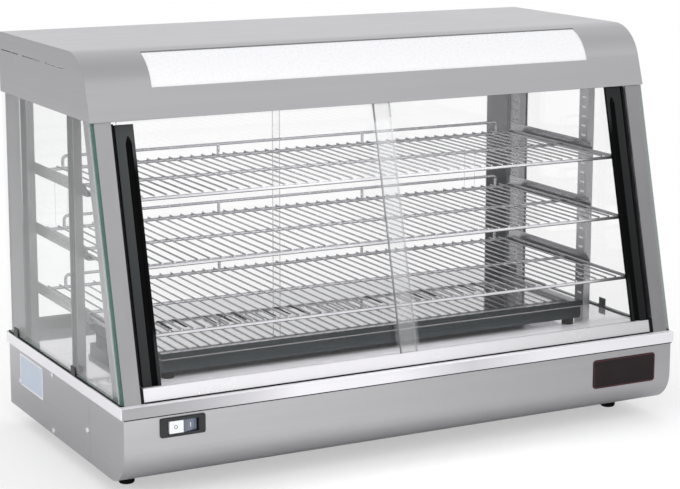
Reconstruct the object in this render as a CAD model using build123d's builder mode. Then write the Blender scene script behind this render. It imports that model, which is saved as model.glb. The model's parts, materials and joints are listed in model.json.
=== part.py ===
from build123d import *
import os
from math import cos, radians, sin, tan

# Heated display case, in millimetres: X to the right, Y to the back, Z up.
# The feet stand on Z = 0 and the rim is centred on the Z axis.

os.makedirs("parts", exist_ok=True)

# Overall size
case_width = 900.0
case_depth = 474.0
case_height = 594.0
foot_height = 26.0
base_height = 112.0
canopy_height = 89.0

# Stock
panel_sheet = 1.2
frame_sheet = 1.5
side_pane = 5.0
door_pane = 4.0

# Fits
butt_gap = 0.4
seat_gap = 0.02
pin_gap = 0.05
slide_gap = 0.5

# Base: deck, apron, panels, floor
rim_lip = 16.0
rim_corner = 4.0
rim_edge = 1.0
panel_inset = 4.0
apron_depth = 131.0
apron_bend = 47.0
rear_recess = 24.0
floor_flange = 14.0
lap_width = 44.0
floor_slot_length = 60.0
floor_slot_width = 5.0
floor_slot_pitch = 40.0
floor_slot_count = 8
rear_slot_length = 44.0
rear_slot_pitch = 14.0
rear_slot_count = 12

# Feet and panel screws
foot_radius = 13.0
foot_base_radius = 11.0
foot_edge = 3.0
foot_inset = 46.0
front_foot_inset = 104.0
rear_foot_inset = 70.0
screw_radius = 2.0
screw_length = 7.0
screw_head_radius = 4.0
screw_head_height = 2.4
screw_head_round = 1.6
screw_seam_inset = 7.0
screw_mid_y = 40.0
screw_top_drop = 21.0
screw_foot_rise = 7.0
screw_back_inset = 50.0
screw_half_drop = 66.0

# Badge plate and rocker switch on the apron
badge_width = 112.0
badge_height = 44.0
badge_corner = 5.0
badge_thickness = 1.0
badge_inset = 89.5
badge_drop = 51.0
switch_inset = 88.5
switch_drop = 35.0
bezel_width = 66.0
bezel_height = 27.0
bezel_corner = 3.0
bezel_proud = 3.0
switch_body_width = 60.0
switch_body_height = 22.0
switch_body_depth = 24.0
pocket_width = 46.0
pocket_height = 18.0
pocket_depth = 16.0
rocker_height = 17.0
rocker_half = 21.0
rocker_crown = 7.0
rocker_shoulder = 4.0
rocker_back = 4.0
rocker_tilt = 8.0
rocker_pin_radius = 2.0
rocker_pin_reach = 1.2
pivot_depth = 4.0

# Thermostat, knob, cable gland and terminal block
thermostat_inset = 200.0
thermostat_drop = 56.0
thermostat_width = 44.0
thermostat_height = 36.0
thermostat_depth = 32.0
bush_radius = 5.0
bush_length = 6.0
bush_bore_depth = 14.0
nut_radius = 8.0
nut_thickness = 3.0
knob_shaft_radius = 3.0
knob_shaft_length = 12.0
knob_radius = 17.0
knob_grip_radius = 13.0
knob_skirt = 3.0
knob_length = 14.0
knob_flutes = 10
knob_flute_radius = 3.0
knob_gap = 1.0
gland_inset = 150.0
gland_rise = 30.0
gland_radius = 8.0
gland_flange_radius = 12.0
gland_flange = 4.0
gland_length = 18.0
gland_neck_radius = 7.5
gland_bore_radius = 4.5
gland_tail = 8.0
terminal_width = 50.0
terminal_depth = 22.0
terminal_height = 16.0
terminal_y = 35.0
terminal_pitch = 14.0
terminal_screws = 3
terminal_hole_radius = 2.0

# Leaning front: posts, seals, tracks, doors, pulls
front_lean = 14.0
post_setback = 10.0
post_width = 24.0
post_depth = 41.0
post_return = 22.0
seal_width = 5.0
seal_depth = 9.0
seal_setback = 13.0
seal_round = 1.5
seal_foot_setback = 1.0
track_setback = 2.0
track_wall = 1.5
front_groove = 8.0
track_rise = 20.0
track_floor = 8.0
track_root = 4.0
upper_track_lift = 1.0
upper_groove_depth = 10.0
door_engage = 7.0
front_door_lap = 16.0
pull_width = 27.0
pull_gap = 4.0
pull_clearance = 1.0
pull_back_lip = 2.0
pull_back_step = 8.0
pull_round = 1.0
pull_end_gap = 1.0
pull_top_gaps = {"left": 5.0, "right": 1.0}
pull_glass_depth = 22.0
groove_offset = 9.3
groove_radius = 5.2
groove_sink = 3.2
groove_top_gap = 6.0
groove_point = 20.0

# Side glass and clips
side_pane_inset = 3.0
clip_base = 2.0
clip_wall = 1.6
clip_height = 13.0
clip_length = 16.0
front_clip_inset = 187.0
rear_clip_inset = 44.0

# Rear jambs, tracks and doors
jamb_inset = 7.0
jamb_depth = 62.0
jamb_flange = 42.0
rear_groove = 6.0
rear_track_rise = 17.0
rear_track_floor = 5.0
rear_upper_drop = 14.0
rear_upper_groove = 10.0
rear_door_lap = 8.0
rear_door_gap = 3.0
grip_length = 80.0
grip_width = 20.0
grip_sink = 2.0
grip_inset = 40.0

# Slotted uprights and shelf brackets
upright_gap = 8.0
upright_width = 12.0
upright_depth = 24.0
mid_upright_y = -22.0
rear_upright_y = 175.0
slot_pitch = 15.0
slot_start = 19.5
slot_end_gap = 20.0
slot_width = 12.0
slot_height = 3.2
tab_width = 10.0
tab_height = 2.4
tab_reach = 3.0
bracket_height = 17.0
bracket_overhang = 16.0
bracket_chamfer = 9.0
bracket_flange = 14.0
shelf_slots = {"bottom": 4, "middle": 10, "top": 16}

# Racks and guard rails
rack_side_gap = 5.0
rack_rod_radius = 2.5
mid_rod_radius = 2.3
rack_corner = 10.0
rack_front_gap = 40.0
rack_rear_inset = 10.0
wire_radius = 1.3
wire_pitch = 18.0
guard_radius = 2.3
guard_height = 16.0
guard_bend = 6.0
guard_inset_bays = 2
guard_spans = 3

# Heater box on the deck
heater_width = 700.0
heater_depth = 285.0
heater_middle_y = 7.5
heater_feet_height = 11.0
heater_foot_radius = 9.0
heater_foot_inset = 14.0
heater_height = 27.5
cover_skirt = 9.5
cover_gap = 0.8
cover_slot_length = 54.0
cover_slot_width = 5.0
cover_slot_pitch = 24.0
cover_slot_count = 11
cover_slot_start = 66.0
cover_slot_y = 16.0
element_radius = 4.0
element_lead_x = 48.0
element_reach = 296.0
element_back_y = 84.0
element_front_y = -52.0
element_turn = 60.0
element_bend = 10.0
element_lift = 12.0
element_tail = 24.0
element_flange_radius = 9.0
element_flange = 2.0
element_hole_gap = 1.0

# Canopy: hood, ends, ceiling, lamp
hood_lean = 18.0
lip_overhang = 3.5
nose_radius = 65.0
hood_back_inset = 5.0
hood_back_bend = 6.0
hood_end_gap = 0.3
skirt_run = 10.0
ceiling_rise = 15.0
ceiling_flange = 12.0
ceiling_flange_setback = 14.0
window_half = 354.0
window_top_drop = 3.5
window_height = 44.5
diffuser_thickness = 2.5
diffuser_gap = 0.1
diffuser_lap = 8.0
vent_length = 75.0
vent_height = 1.6
vent_pitch = 95.5
vent_count = 3
vent_middle_y = 89.0
vent_drop = 26.0
tube_radius = 13.0
tube_length = 590.0
tube_rise = 30.0
tube_back = -10.0
tube_pin_radius = 1.2
tube_pin_length = 7.0
tube_pin_spread = 6.35
holder_width = 14.0
holder_depth = 30.0
holder_height = 46.0
ballast_length = 160.0
ballast_depth = 42.0
ballast_height = 30.0
ballast_y = 60.0

# Heights
deck_top = foot_height + base_height
deck_under = deck_top - frame_sheet
floor_top = foot_height + panel_sheet
canopy_top = case_height
canopy_bottom = canopy_top - canopy_height
ceiling_bottom = canopy_bottom + ceiling_rise
ceiling_top = ceiling_bottom + panel_sheet
upright_height = ceiling_bottom - deck_top

# Depths of the base
rim_front = -case_depth / 2
rim_back = case_depth / 2
apron_front = rim_front + panel_inset
seam_y = rim_front + apron_depth
side_front = seam_y + butt_gap
side_back = rim_back - panel_inset
rear_face = rim_back - rear_recess
rear_inner = rear_face - panel_sheet

# Widths, measured out from the middle
panel_half = case_width / 2 - panel_inset
panel_inner = panel_half - panel_sheet
pane_outer = case_width / 2 - side_pane_inset
pane_inner = pane_outer - side_pane
post_inner = pane_inner - post_width
seal_inner = post_inner - seal_width
front_track_half = seal_inner - butt_gap
pull_outer = seal_inner - pull_gap
pull_inner = pull_outer - pull_width
door_edge = pull_inner + pull_glass_depth
jamb_inner = pane_inner - frame_sheet
upright_outer = pane_inner - upright_gap
upright_inner = upright_outer - upright_width
bracket_inner = upright_inner - frame_sheet
rack_half = bracket_inner - rack_side_gap - rack_rod_radius
rack_bays = round(rack_half / wire_pitch)
wire_count = 2 * rack_bays
guard_bays = rack_bays - guard_inset_bays
guard_end = guard_bays * wire_pitch
guard_post = guard_bays // guard_spans * wire_pitch
thermostat_x = case_width / 2 - thermostat_inset
gland_x = gland_inset - case_width / 2
end_inner = pane_outer + hood_end_gap
canopy_half = end_inner + panel_sheet

# The leaning front plane: across, inwards and up the slope
lean = radians(front_lean)
post_front = rim_front + post_setback
lean_up = (0, sin(lean), cos(lean))
lean_plane = Plane(origin=(0, post_front, deck_top), x_dir=(1, 0, 0), z_dir=lean_up)
upper_track_low = (canopy_bottom + upper_track_lift - deck_top) / cos(lean)
front_track_depth = 3 * track_wall + 2 * front_groove
outer_door_depth = track_setback + track_wall + front_groove / 2
inner_door_depth = outer_door_depth + front_groove + track_wall

sides = ((-1, "left"), (1, "right"))


def save(piece, label):
    piece.part.label = label
    export_step(piece.part, f"parts/{label}.step")


def front_y(height):
    return post_front + (height - deck_top) * tan(lean)


# Base

lead_points = [
    (side * element_lead_x, lead_y)
    for side, name in sides
    for lead_y in (element_front_y, element_back_y)
]
lead_hole_radius = element_radius + element_hole_gap

with BuildPart() as deck:
    with BuildSketch(Plane.XY.offset(deck_top)):
        RectangleRounded(case_width, case_depth, rim_corner)
    extrude(amount=-rim_lip)
    fillet(deck.faces().sort_by(Axis.Z)[-1].edges(), rim_edge)
    with BuildSketch(Plane.XY.offset(deck_under)):
        RectangleRounded(
            case_width - 2 * frame_sheet,
            case_depth - 2 * frame_sheet,
            rim_corner - frame_sheet,
        )
    extrude(amount=-rim_lip, mode=Mode.SUBTRACT)
    with BuildSketch(Plane.XY.offset(deck_under)):
        with Locations(*lead_points):
            Circle(lead_hole_radius)
    extrude(amount=frame_sheet, mode=Mode.SUBTRACT)
save(deck, "deck")


def apron_face(inset):
    low_front = (apron_front + inset, foot_height + inset)
    with BuildSketch() as profile:
        with BuildLine():
            FilletPolyline(
                (seam_y + inset, foot_height + inset),
                low_front,
                (apron_front + inset, deck_under + inset),
                radius=apron_bend - inset,
            )
            Polyline(
                (apron_front + inset, deck_under + inset),
                (seam_y + inset, deck_under + inset),
                (seam_y + inset, foot_height + inset),
            )
        make_face()
    return profile.sketch


switch_x = -case_width / 2 + switch_inset
switch_z = deck_top - switch_drop
badge_x = case_width / 2 - badge_inset
badge_z = deck_top - badge_drop
apron_plane = Plane.XZ.offset(-apron_front)

with BuildPart() as front_apron:
    with BuildSketch(Plane.YZ):
        add(apron_face(0))
    extrude(amount=panel_half, both=True)
    with BuildSketch(Plane.YZ):
        add(apron_face(panel_sheet))
    extrude(amount=panel_inner, both=True, mode=Mode.SUBTRACT)
    with BuildSketch(apron_plane):
        with Locations((switch_x, switch_z)):
            Rectangle(switch_body_width, switch_body_height)
    extrude(amount=-panel_sheet, mode=Mode.SUBTRACT)
save(front_apron, "front_apron")

screw_points = (
    (seam_y + screw_seam_inset, deck_top - screw_half_drop),
    (screw_mid_y, deck_top - screw_top_drop),
    (screw_mid_y, foot_height + screw_foot_rise),
    (side_back - screw_back_inset, deck_top - screw_half_drop),
)
flange_back = rear_inner - butt_gap

for side, name in sides:
    with BuildPart() as side_panel:
        with BuildSketch(Plane.XY.offset(foot_height)):
            with Locations((side * (panel_inner + panel_sheet / 2), (side_front + side_back) / 2)):
                Rectangle(panel_sheet, side_back - side_front)
        extrude(amount=deck_under - foot_height)
        with BuildSketch(Plane.XY.offset(floor_top)):
            with Locations((side * (panel_inner - floor_flange / 2), (side_front + flange_back) / 2)):
                Rectangle(floor_flange, flange_back - side_front)
        extrude(amount=panel_sheet)
        with BuildSketch(Plane.YZ.offset(side * panel_half)):
            with Locations(*screw_points):
                Circle(screw_radius)
        extrude(amount=-side * panel_sheet, mode=Mode.SUBTRACT)
    save(side_panel, f"side_panel_{name}")

thermostat_z = deck_top - thermostat_drop
gland_z = foot_height + gland_rise
rear_plane = Plane(origin=(0, rear_face, 0), x_dir=(-1, 0, 0), z_dir=(0, 1, 0))

with BuildPart() as rear_panel:
    with BuildSketch(rear_plane):
        with Locations((0, (floor_top + deck_under) / 2)):
            Rectangle(2 * panel_inner, deck_under - floor_top)
            with GridLocations(rear_slot_pitch, rear_slot_pitch, rear_slot_count, 1):
                SlotOverall(rear_slot_length, floor_slot_width, rotation=90, mode=Mode.SUBTRACT)
        with Locations((-thermostat_x, thermostat_z)):
            Circle(bush_radius, mode=Mode.SUBTRACT)
        with Locations((-gland_x, gland_z)):
            Circle(gland_radius, mode=Mode.SUBTRACT)
    extrude(amount=-panel_sheet)
save(rear_panel, "rear_panel")

with BuildPart() as floor_plate:
    with BuildSketch(Plane.XY.offset(foot_height)):
        with Locations((0, (side_front + rear_face) / 2)):
            Rectangle(2 * (panel_inner - butt_gap), rear_face - side_front)
            with GridLocations(floor_slot_pitch, floor_slot_pitch, floor_slot_count, 1):
                SlotOverall(floor_slot_length, floor_slot_width, rotation=90, mode=Mode.SUBTRACT)
    extrude(amount=panel_sheet)
    with BuildSketch(Plane.XY.offset(floor_top)):
        with Locations((0, seam_y)):
            Rectangle(2 * (panel_inner - floor_flange - butt_gap), lap_width)
    extrude(amount=panel_sheet)
save(floor_plate, "floor_plate")

foot_x = case_width / 2 - foot_inset
foot_points = [
    (side * foot_x, foot_y)
    for side, name in sides
    for foot_y in (rim_front + front_foot_inset, rim_back - rear_foot_inset)
]

with BuildPart() as feet:
    with Locations(*foot_points):
        Cone(
            foot_base_radius,
            foot_radius,
            foot_height,
            align=(Align.CENTER, Align.CENTER, Align.MIN),
        )
    fillet(feet.faces().group_by(Axis.Z)[0].edges(), foot_edge)
save(feet, "feet")

screw_seats = [
    Location((side * panel_half, screw_y, screw_z), (0, side * 90, 0))
    for side, name in sides
    for screw_y, screw_z in screw_points
]

with BuildPart() as panel_screws:
    with Locations(*screw_seats):
        Cylinder(
            screw_head_radius,
            screw_head_height,
            align=(Align.CENTER, Align.CENTER, Align.MIN),
        )
    fillet(panel_screws.faces().group_by(Axis.X)[0].edges(), screw_head_round)
    fillet(panel_screws.faces().group_by(Axis.X)[-1].edges(), screw_head_round)
    with Locations(*screw_seats):
        Cylinder(
            screw_radius,
            screw_length,
            align=(Align.CENTER, Align.CENTER, Align.MAX),
        )
save(panel_screws, "panel_screws")

# Badge plate and rocker switch

with BuildPart() as badge_plate:
    with BuildSketch(apron_plane):
        with Locations((badge_x, badge_z)):
            RectangleRounded(badge_width, badge_height, badge_corner)
    extrude(amount=badge_thickness)
save(badge_plate, "badge_plate")

pivot_y = apron_front + pivot_depth

with BuildPart() as switch_bezel:
    with BuildSketch(apron_plane):
        with Locations((switch_x, switch_z)):
            RectangleRounded(bezel_width, bezel_height, bezel_corner)
    extrude(amount=bezel_proud)
    fillet(switch_bezel.faces().sort_by(Axis.Y)[0].edges(), bezel_proud / 2)
    with BuildSketch(apron_plane):
        with Locations((switch_x, switch_z)):
            Rectangle(switch_body_width, switch_body_height)
    extrude(amount=-switch_body_depth)
    with BuildSketch(apron_plane.offset(bezel_proud)):
        with Locations((switch_x, switch_z)):
            Rectangle(pocket_width, pocket_height)
    extrude(amount=-pocket_depth, mode=Mode.SUBTRACT)
    with Locations((switch_x, pivot_y, switch_z)):
        Cylinder(
            rocker_pin_radius + pin_gap,
            pocket_height + 2 * (rocker_pin_reach + slide_gap),
            mode=Mode.SUBTRACT,
        )
save(switch_bezel, "switch_bezel")

tilt = radians(rocker_tilt)
rocker_plane = Plane(
    origin=(switch_x, pivot_y, switch_z),
    x_dir=(cos(tilt), sin(tilt), 0),
    z_dir=(0, 0, 1),
)

with BuildPart() as switch_rocker:
    with BuildSketch(rocker_plane):
        with BuildLine():
            Polyline(
                (-rocker_half, -rocker_shoulder),
                (0, -rocker_crown),
                (rocker_half, -rocker_shoulder),
                (rocker_half, 0),
                (0, rocker_back),
                (-rocker_half, 0),
                close=True,
            )
        make_face()
    extrude(amount=rocker_height / 2, both=True)
    with BuildSketch(rocker_plane):
        Circle(rocker_pin_radius)
    extrude(amount=pocket_height / 2 + rocker_pin_reach, both=True)
save(switch_rocker, "switch_rocker")

# Thermostat, knob, cable gland and terminal block

thermostat_plane = Plane(
    origin=(thermostat_x, rear_inner, thermostat_z), x_dir=(-1, 0, 0), z_dir=(0, 1, 0)
)
bush_end = panel_sheet + bush_length

with BuildPart() as thermostat:
    with BuildSketch(thermostat_plane):
        Rectangle(thermostat_width, thermostat_height)
    extrude(amount=-thermostat_depth)
    with BuildSketch(thermostat_plane):
        Circle(bush_radius)
    extrude(amount=bush_end)
    with BuildSketch(thermostat_plane.offset(panel_sheet)):
        RegularPolygon(nut_radius, 6)
    extrude(amount=nut_thickness)
    with BuildSketch(thermostat_plane.offset(bush_end)):
        Circle(knob_shaft_radius + pin_gap)
    extrude(amount=-bush_bore_depth, mode=Mode.SUBTRACT)
save(thermostat, "thermostat")

knob_base = bush_end + knob_gap

with BuildPart() as thermostat_knob:
    with BuildSketch(thermostat_plane.offset(knob_base)):
        Circle(knob_grip_radius)
        with PolarLocations(knob_grip_radius + knob_flute_radius / 2, knob_flutes):
            Circle(knob_flute_radius, mode=Mode.SUBTRACT)
    extrude(amount=knob_length)
    with BuildSketch(thermostat_plane.offset(knob_base)):
        Circle(knob_radius)
    extrude(amount=knob_skirt)
    with BuildSketch(thermostat_plane.offset(knob_base)):
        Circle(knob_shaft_radius)
    extrude(amount=-knob_shaft_length)
save(thermostat_knob, "thermostat_knob")

gland_plane = Plane(origin=(gland_x, rear_face, gland_z), x_dir=(-1, 0, 0), z_dir=(0, 1, 0))

with BuildPart() as cord_gland:
    with BuildSketch(gland_plane):
        RegularPolygon(gland_flange_radius, 6)
    extrude(amount=gland_flange)
    with BuildSketch(gland_plane):
        Circle(gland_neck_radius)
    extrude(amount=gland_length)
    fillet(cord_gland.faces().sort_by(Axis.Y)[-1].edges(), gland_neck_radius - gland_bore_radius - slide_gap)
    with BuildSketch(gland_plane):
        Circle(gland_radius)
    extrude(amount=-gland_tail)
    with BuildSketch(gland_plane.offset(-panel_sheet)):
        RegularPolygon(gland_flange_radius, 6)
    extrude(amount=-gland_flange)
    with BuildSketch(gland_plane.offset(gland_length)):
        Circle(gland_bore_radius)
    extrude(amount=-(gland_length + gland_tail), mode=Mode.SUBTRACT)
save(cord_gland, "cord_gland")

with BuildPart() as terminal_block:
    with BuildSketch(Plane.XY.offset(deck_under)):
        with Locations((0, terminal_y)):
            Rectangle(terminal_width, terminal_depth)
    extrude(amount=-terminal_height)
    with BuildSketch(Plane.XY.offset(deck_under - terminal_height)):
        with Locations((0, terminal_y)):
            with GridLocations(terminal_pitch, terminal_depth / 2, terminal_screws, 2):
                Circle(terminal_hole_radius)
    extrude(amount=terminal_height / 2, mode=Mode.SUBTRACT)
save(terminal_block, "terminal_block")

# Heater box

tray_bottom = deck_top + heater_feet_height
cover_top = tray_bottom + heater_height
cover_under = cover_top - panel_sheet
tray_width = heater_width - 2 * (panel_sheet + cover_gap)
tray_depth = heater_depth - 2 * (panel_sheet + cover_gap)
heater_middle = (0, heater_middle_y)

with BuildPart() as heater_tray:
    with BuildSketch(Plane.XY.offset(tray_bottom)):
        with Locations(heater_middle):
            Rectangle(tray_width, tray_depth)
        with Locations(*lead_points):
            Circle(lead_hole_radius, mode=Mode.SUBTRACT)
    extrude(amount=panel_sheet)
    with BuildSketch(Plane.XY.offset(tray_bottom)):
        with Locations(heater_middle):
            Rectangle(tray_width, tray_depth)
            Rectangle(tray_width - 2 * panel_sheet, tray_depth - 2 * panel_sheet, mode=Mode.SUBTRACT)
    extrude(amount=cover_under - tray_bottom)
save(heater_tray, "heater_tray")

with BuildPart() as heater_feet:
    with BuildSketch(Plane.XY.offset(deck_top)):
        with Locations(heater_middle):
            with GridLocations(
                tray_width - 2 * heater_foot_inset, tray_depth - 2 * heater_foot_inset, 2, 2
            ):
                Circle(heater_foot_radius)
    extrude(amount=heater_feet_height)
save(heater_feet, "heater_feet")

cover_slot_middle = cover_slot_start + (cover_slot_count - 1) * cover_slot_pitch / 2

with BuildPart() as heater_cover:
    with BuildSketch(Plane.XY.offset(cover_top)):
        with Locations(heater_middle):
            Rectangle(heater_width, heater_depth)
    extrude(amount=-cover_skirt)
    with BuildSketch(Plane.XY.offset(cover_under)):
        with Locations(heater_middle):
            Rectangle(heater_width - 2 * panel_sheet, heater_depth - 2 * panel_sheet)
    extrude(amount=-cover_skirt, mode=Mode.SUBTRACT)
    with BuildSketch(Plane.XY.offset(cover_under)):
        with Locations((-cover_slot_middle, cover_slot_y), (cover_slot_middle, cover_slot_y)):
            with GridLocations(cover_slot_pitch, cover_slot_pitch, cover_slot_count, 1):
                SlotOverall(cover_slot_length, cover_slot_width, rotation=90)
    extrude(amount=panel_sheet, mode=Mode.SUBTRACT)
save(heater_cover, "heater_cover")

tray_floor = tray_bottom + panel_sheet
element_z = tray_floor + element_lift
lead_end = deck_under - element_tail

for side, name in sides:
    with BuildPart() as element:
        with BuildLine():
            FilletPolyline(
                (side * element_lead_x, element_front_y, lead_end),
                (side * element_lead_x, element_front_y, element_z),
                (side * element_reach, element_front_y, element_z),
                (side * element_reach, element_back_y, element_z),
                (side * element_lead_x, element_back_y, element_z),
                (side * element_lead_x, element_back_y, lead_end),
                radius=(element_bend, element_turn, element_turn, element_bend),
            )
        with BuildSketch(Plane.XY.offset(lead_end)):
            with Locations((side * element_lead_x, element_front_y)):
                Circle(element_radius)
        sweep()
        with BuildSketch(Plane.XY.offset(tray_floor)):
            with Locations(
                (side * element_lead_x, element_front_y), (side * element_lead_x, element_back_y)
            ):
                Circle(element_flange_radius)
        extrude(amount=element_flange)
    save(element, f"element_{name}")

# Posts, seals, uprights, jambs and side glass

upright_slots = int((upright_height - slot_start - slot_end_gap) / slot_pitch) + 1
slot_middle = deck_top + slot_start + (upright_slots - 1) * slot_pitch / 2
seal_back = seal_setback + seal_depth
jamb_back = rim_back - jamb_inset
pane_low = deck_top + clip_base

for side, name in sides:
    with BuildPart() as front_post:
        with BuildSketch(Plane.XY.offset(deck_top)):
            with Locations((side * (post_inner + post_width / 2), post_front + frame_sheet / 2)):
                Rectangle(post_width, frame_sheet)
            with Locations((side * (pane_inner - frame_sheet / 2), post_front + post_depth / 2)):
                Rectangle(frame_sheet, post_depth)
            with Locations((side * (post_inner + frame_sheet / 2), post_front + post_return / 2)):
                Rectangle(frame_sheet, post_return)
        extrude(amount=upright_height / cos(lean), dir=lean_up)
    save(front_post, f"front_post_{name}")

    with BuildPart() as post_seal:
        with BuildSketch(Plane.XY.offset(deck_top)) as seal_section:
            with Locations(
                (side * (seal_inner + seal_width / 2), post_front + seal_setback + seal_depth / 2)
            ):
                Rectangle(seal_width, seal_depth)
            fillet(seal_section.vertices().group_by(Axis.X)[-(1 + side) // 2], seal_round)
        extrude(amount=upright_height / cos(lean), dir=lean_up)
        with BuildSketch(Plane.XY.offset(deck_top)):
            with Locations(
                (side * (seal_inner + seal_width / 2), post_front + (seal_foot_setback + seal_back) / 2)
            ):
                Rectangle(seal_width, seal_back - seal_foot_setback)
        extrude(amount=track_rise, dir=lean_up)
    save(post_seal, f"post_seal_{name}")

    for place, upright_y in (("mid", mid_upright_y), ("rear", rear_upright_y)):
        with BuildPart() as upright:
            with BuildSketch(Plane.XY.offset(deck_top)):
                with Locations((side * (upright_inner + upright_width / 2), upright_y)):
                    Rectangle(upright_width, upright_depth)
                with Locations((side * (upright_inner + upright_width / 2 + frame_sheet), upright_y)):
                    Rectangle(upright_width, upright_depth - 2 * frame_sheet, mode=Mode.SUBTRACT)
            extrude(amount=upright_height)
            with BuildSketch(Plane.YZ.offset(side * upright_inner)):
                with Locations((upright_y, slot_middle)):
                    with GridLocations(slot_pitch, slot_pitch, 1, upright_slots):
                        Rectangle(slot_width, slot_height)
            extrude(amount=side * frame_sheet, mode=Mode.SUBTRACT)
        save(upright, f"{place}_upright_{name}")

    with BuildPart() as rear_jamb:
        with BuildSketch(Plane.XY.offset(deck_top)):
            with Locations((side * (pane_inner - frame_sheet / 2), jamb_back - jamb_depth / 2)):
                Rectangle(frame_sheet, jamb_depth)
            with Locations((side * (pane_inner - jamb_flange / 2), jamb_back - frame_sheet / 2)):
                Rectangle(jamb_flange, frame_sheet)
        extrude(amount=upright_height)
    save(rear_jamb, f"rear_jamb_{name}")

    with BuildPart() as side_glass:
        with BuildSketch(Plane.YZ.offset(side * pane_inner)):
            with BuildLine():
                Polyline(
                    (front_y(pane_low), pane_low),
                    (jamb_back, pane_low),
                    (jamb_back, ceiling_bottom),
                    (front_y(ceiling_bottom), ceiling_bottom),
                    close=True,
                )
            make_face()
        extrude(amount=side * side_pane)
    save(side_glass, f"side_glass_{name}")

clip_points = [
    (side, clip_y)
    for side, name in sides
    for clip_y in (rim_front + front_clip_inset, rim_back - rear_clip_inset)
]

with BuildPart() as glass_clips:
    for side, clip_y in clip_points:
        with BuildSketch(Plane.XY.offset(deck_top)):
            with Locations((side * (pane_inner + (side_pane + clip_wall) / 2), clip_y)):
                Rectangle(side_pane + clip_wall, clip_length)
        extrude(amount=clip_base)
        with BuildSketch(Plane.XY.offset(deck_top)):
            with Locations((side * (pane_outer + clip_wall / 2), clip_y)):
                Rectangle(clip_wall, clip_length)
        extrude(amount=clip_height)
save(glass_clips, "glass_clips")

# Front tracks, doors and pulls

track_middle = (0, track_setback + front_track_depth / 2)
groove_middles = ((0, outer_door_depth), (0, inner_door_depth))

with BuildPart() as front_track_lower:
    with BuildSketch(lean_plane.offset(-track_root)):
        with Locations(track_middle):
            Rectangle(2 * front_track_half, front_track_depth)
    extrude(amount=track_root + track_rise)
    with BuildSketch(lean_plane.offset(track_floor)):
        with Locations(*groove_middles):
            Rectangle(2 * front_track_half, front_groove)
    extrude(amount=track_rise, mode=Mode.SUBTRACT)
    split(bisect_by=Plane.XY.offset(deck_top), keep=Keep.TOP)
save(front_track_lower, "front_track_lower")

with BuildPart() as front_track_upper:
    with BuildSketch(lean_plane.offset(upper_track_low)):
        with Locations(track_middle):
            Rectangle(2 * front_track_half, front_track_depth)
    extrude(amount=2 * ceiling_rise)
    with BuildSketch(lean_plane.offset(upper_track_low)):
        with Locations(*groove_middles):
            Rectangle(2 * front_track_half, front_groove)
    extrude(amount=upper_groove_depth, mode=Mode.SUBTRACT)
    split(bisect_by=Plane.XY.offset(ceiling_bottom), keep=Keep.BOTTOM)
save(front_track_upper, "front_track_upper")

door_low = track_floor + slide_gap
door_high = upper_track_low + door_engage
pull_low = track_rise + pull_end_gap
pull_front_lip = front_groove + track_wall - door_pane - pull_clearance
front_door_depths = {"left": inner_door_depth, "right": outer_door_depth}

for side, name in sides:
    door_depth = front_door_depths[name]

    with BuildPart() as front_door:
        with BuildSketch(lean_plane.offset(door_low)):
            with Locations((side * (door_edge - front_door_lap) / 2, door_depth)):
                Rectangle(door_edge + front_door_lap, door_pane)
        extrude(amount=door_high - door_low)
    save(front_door, f"front_door_{name}")

    pull_front = door_depth - door_pane / 2 - pull_front_lip
    pull_depth = pull_front_lip + door_pane + pull_back_lip
    pull_high = upper_track_low - pull_top_gaps[name]
    groove_place = Plane(
        origin=lean_plane.from_local_coords(
            Vector(side * (pull_inner + groove_offset), pull_front + groove_sink - groove_radius, pull_low)
        ),
        x_dir=lean_plane.x_dir,
        z_dir=lean_plane.z_dir,
    )
    groove_length = pull_high - groove_top_gap - groove_point - pull_low

    with BuildPart() as front_pull:
        with BuildSketch(lean_plane.offset(pull_low)) as pull_section:
            with Locations((side * (pull_inner + pull_width / 2), pull_front + pull_depth / 2)):
                Rectangle(pull_width, pull_depth)
            fillet(pull_section.vertices(), pull_round)
            with Locations((side * (pull_inner + pull_glass_depth / 2), door_depth)):
                Rectangle(pull_glass_depth, door_pane, mode=Mode.SUBTRACT)
            with Locations((side * (pull_inner + pull_back_step / 2), pull_front + pull_depth)):
                Rectangle(pull_back_step, 2 * pull_back_lip, mode=Mode.SUBTRACT)
        extrude(amount=pull_high - pull_low)
        with BuildSketch(groove_place):
            Circle(groove_radius)
        extrude(amount=groove_length, mode=Mode.SUBTRACT)
        with Locations(groove_place.offset(groove_length)):
            Cone(
                groove_radius,
                0,
                groove_point,
                align=(Align.CENTER, Align.CENTER, Align.MIN),
                mode=Mode.SUBTRACT,
            )
    save(front_pull, f"front_pull_{name}")

# Rear tracks and doors

rear_track_half = jamb_inner - butt_gap
rear_track_depth = 3 * track_wall + 2 * rear_groove
rear_track_back = jamb_back - frame_sheet
rear_track_middle = (0, rear_track_back - rear_track_depth / 2)
rear_groove_ys = {
    "left": rear_track_back - track_wall - rear_groove / 2,
    "right": rear_track_back - 2 * track_wall - 3 * rear_groove / 2,
}
rear_upper_low = ceiling_bottom - rear_upper_drop

with BuildPart() as rear_track_lower:
    with BuildSketch(Plane.XY.offset(deck_top)):
        with Locations(rear_track_middle):
            Rectangle(2 * rear_track_half, rear_track_depth)
    extrude(amount=rear_track_rise)
    with BuildSketch(Plane.XY.offset(deck_top + rear_track_floor)):
        with Locations(*[(0, groove_y) for groove_y in rear_groove_ys.values()]):
            Rectangle(2 * rear_track_half, rear_groove)
    extrude(amount=rear_track_rise, mode=Mode.SUBTRACT)
save(rear_track_lower, "rear_track_lower")

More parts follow.
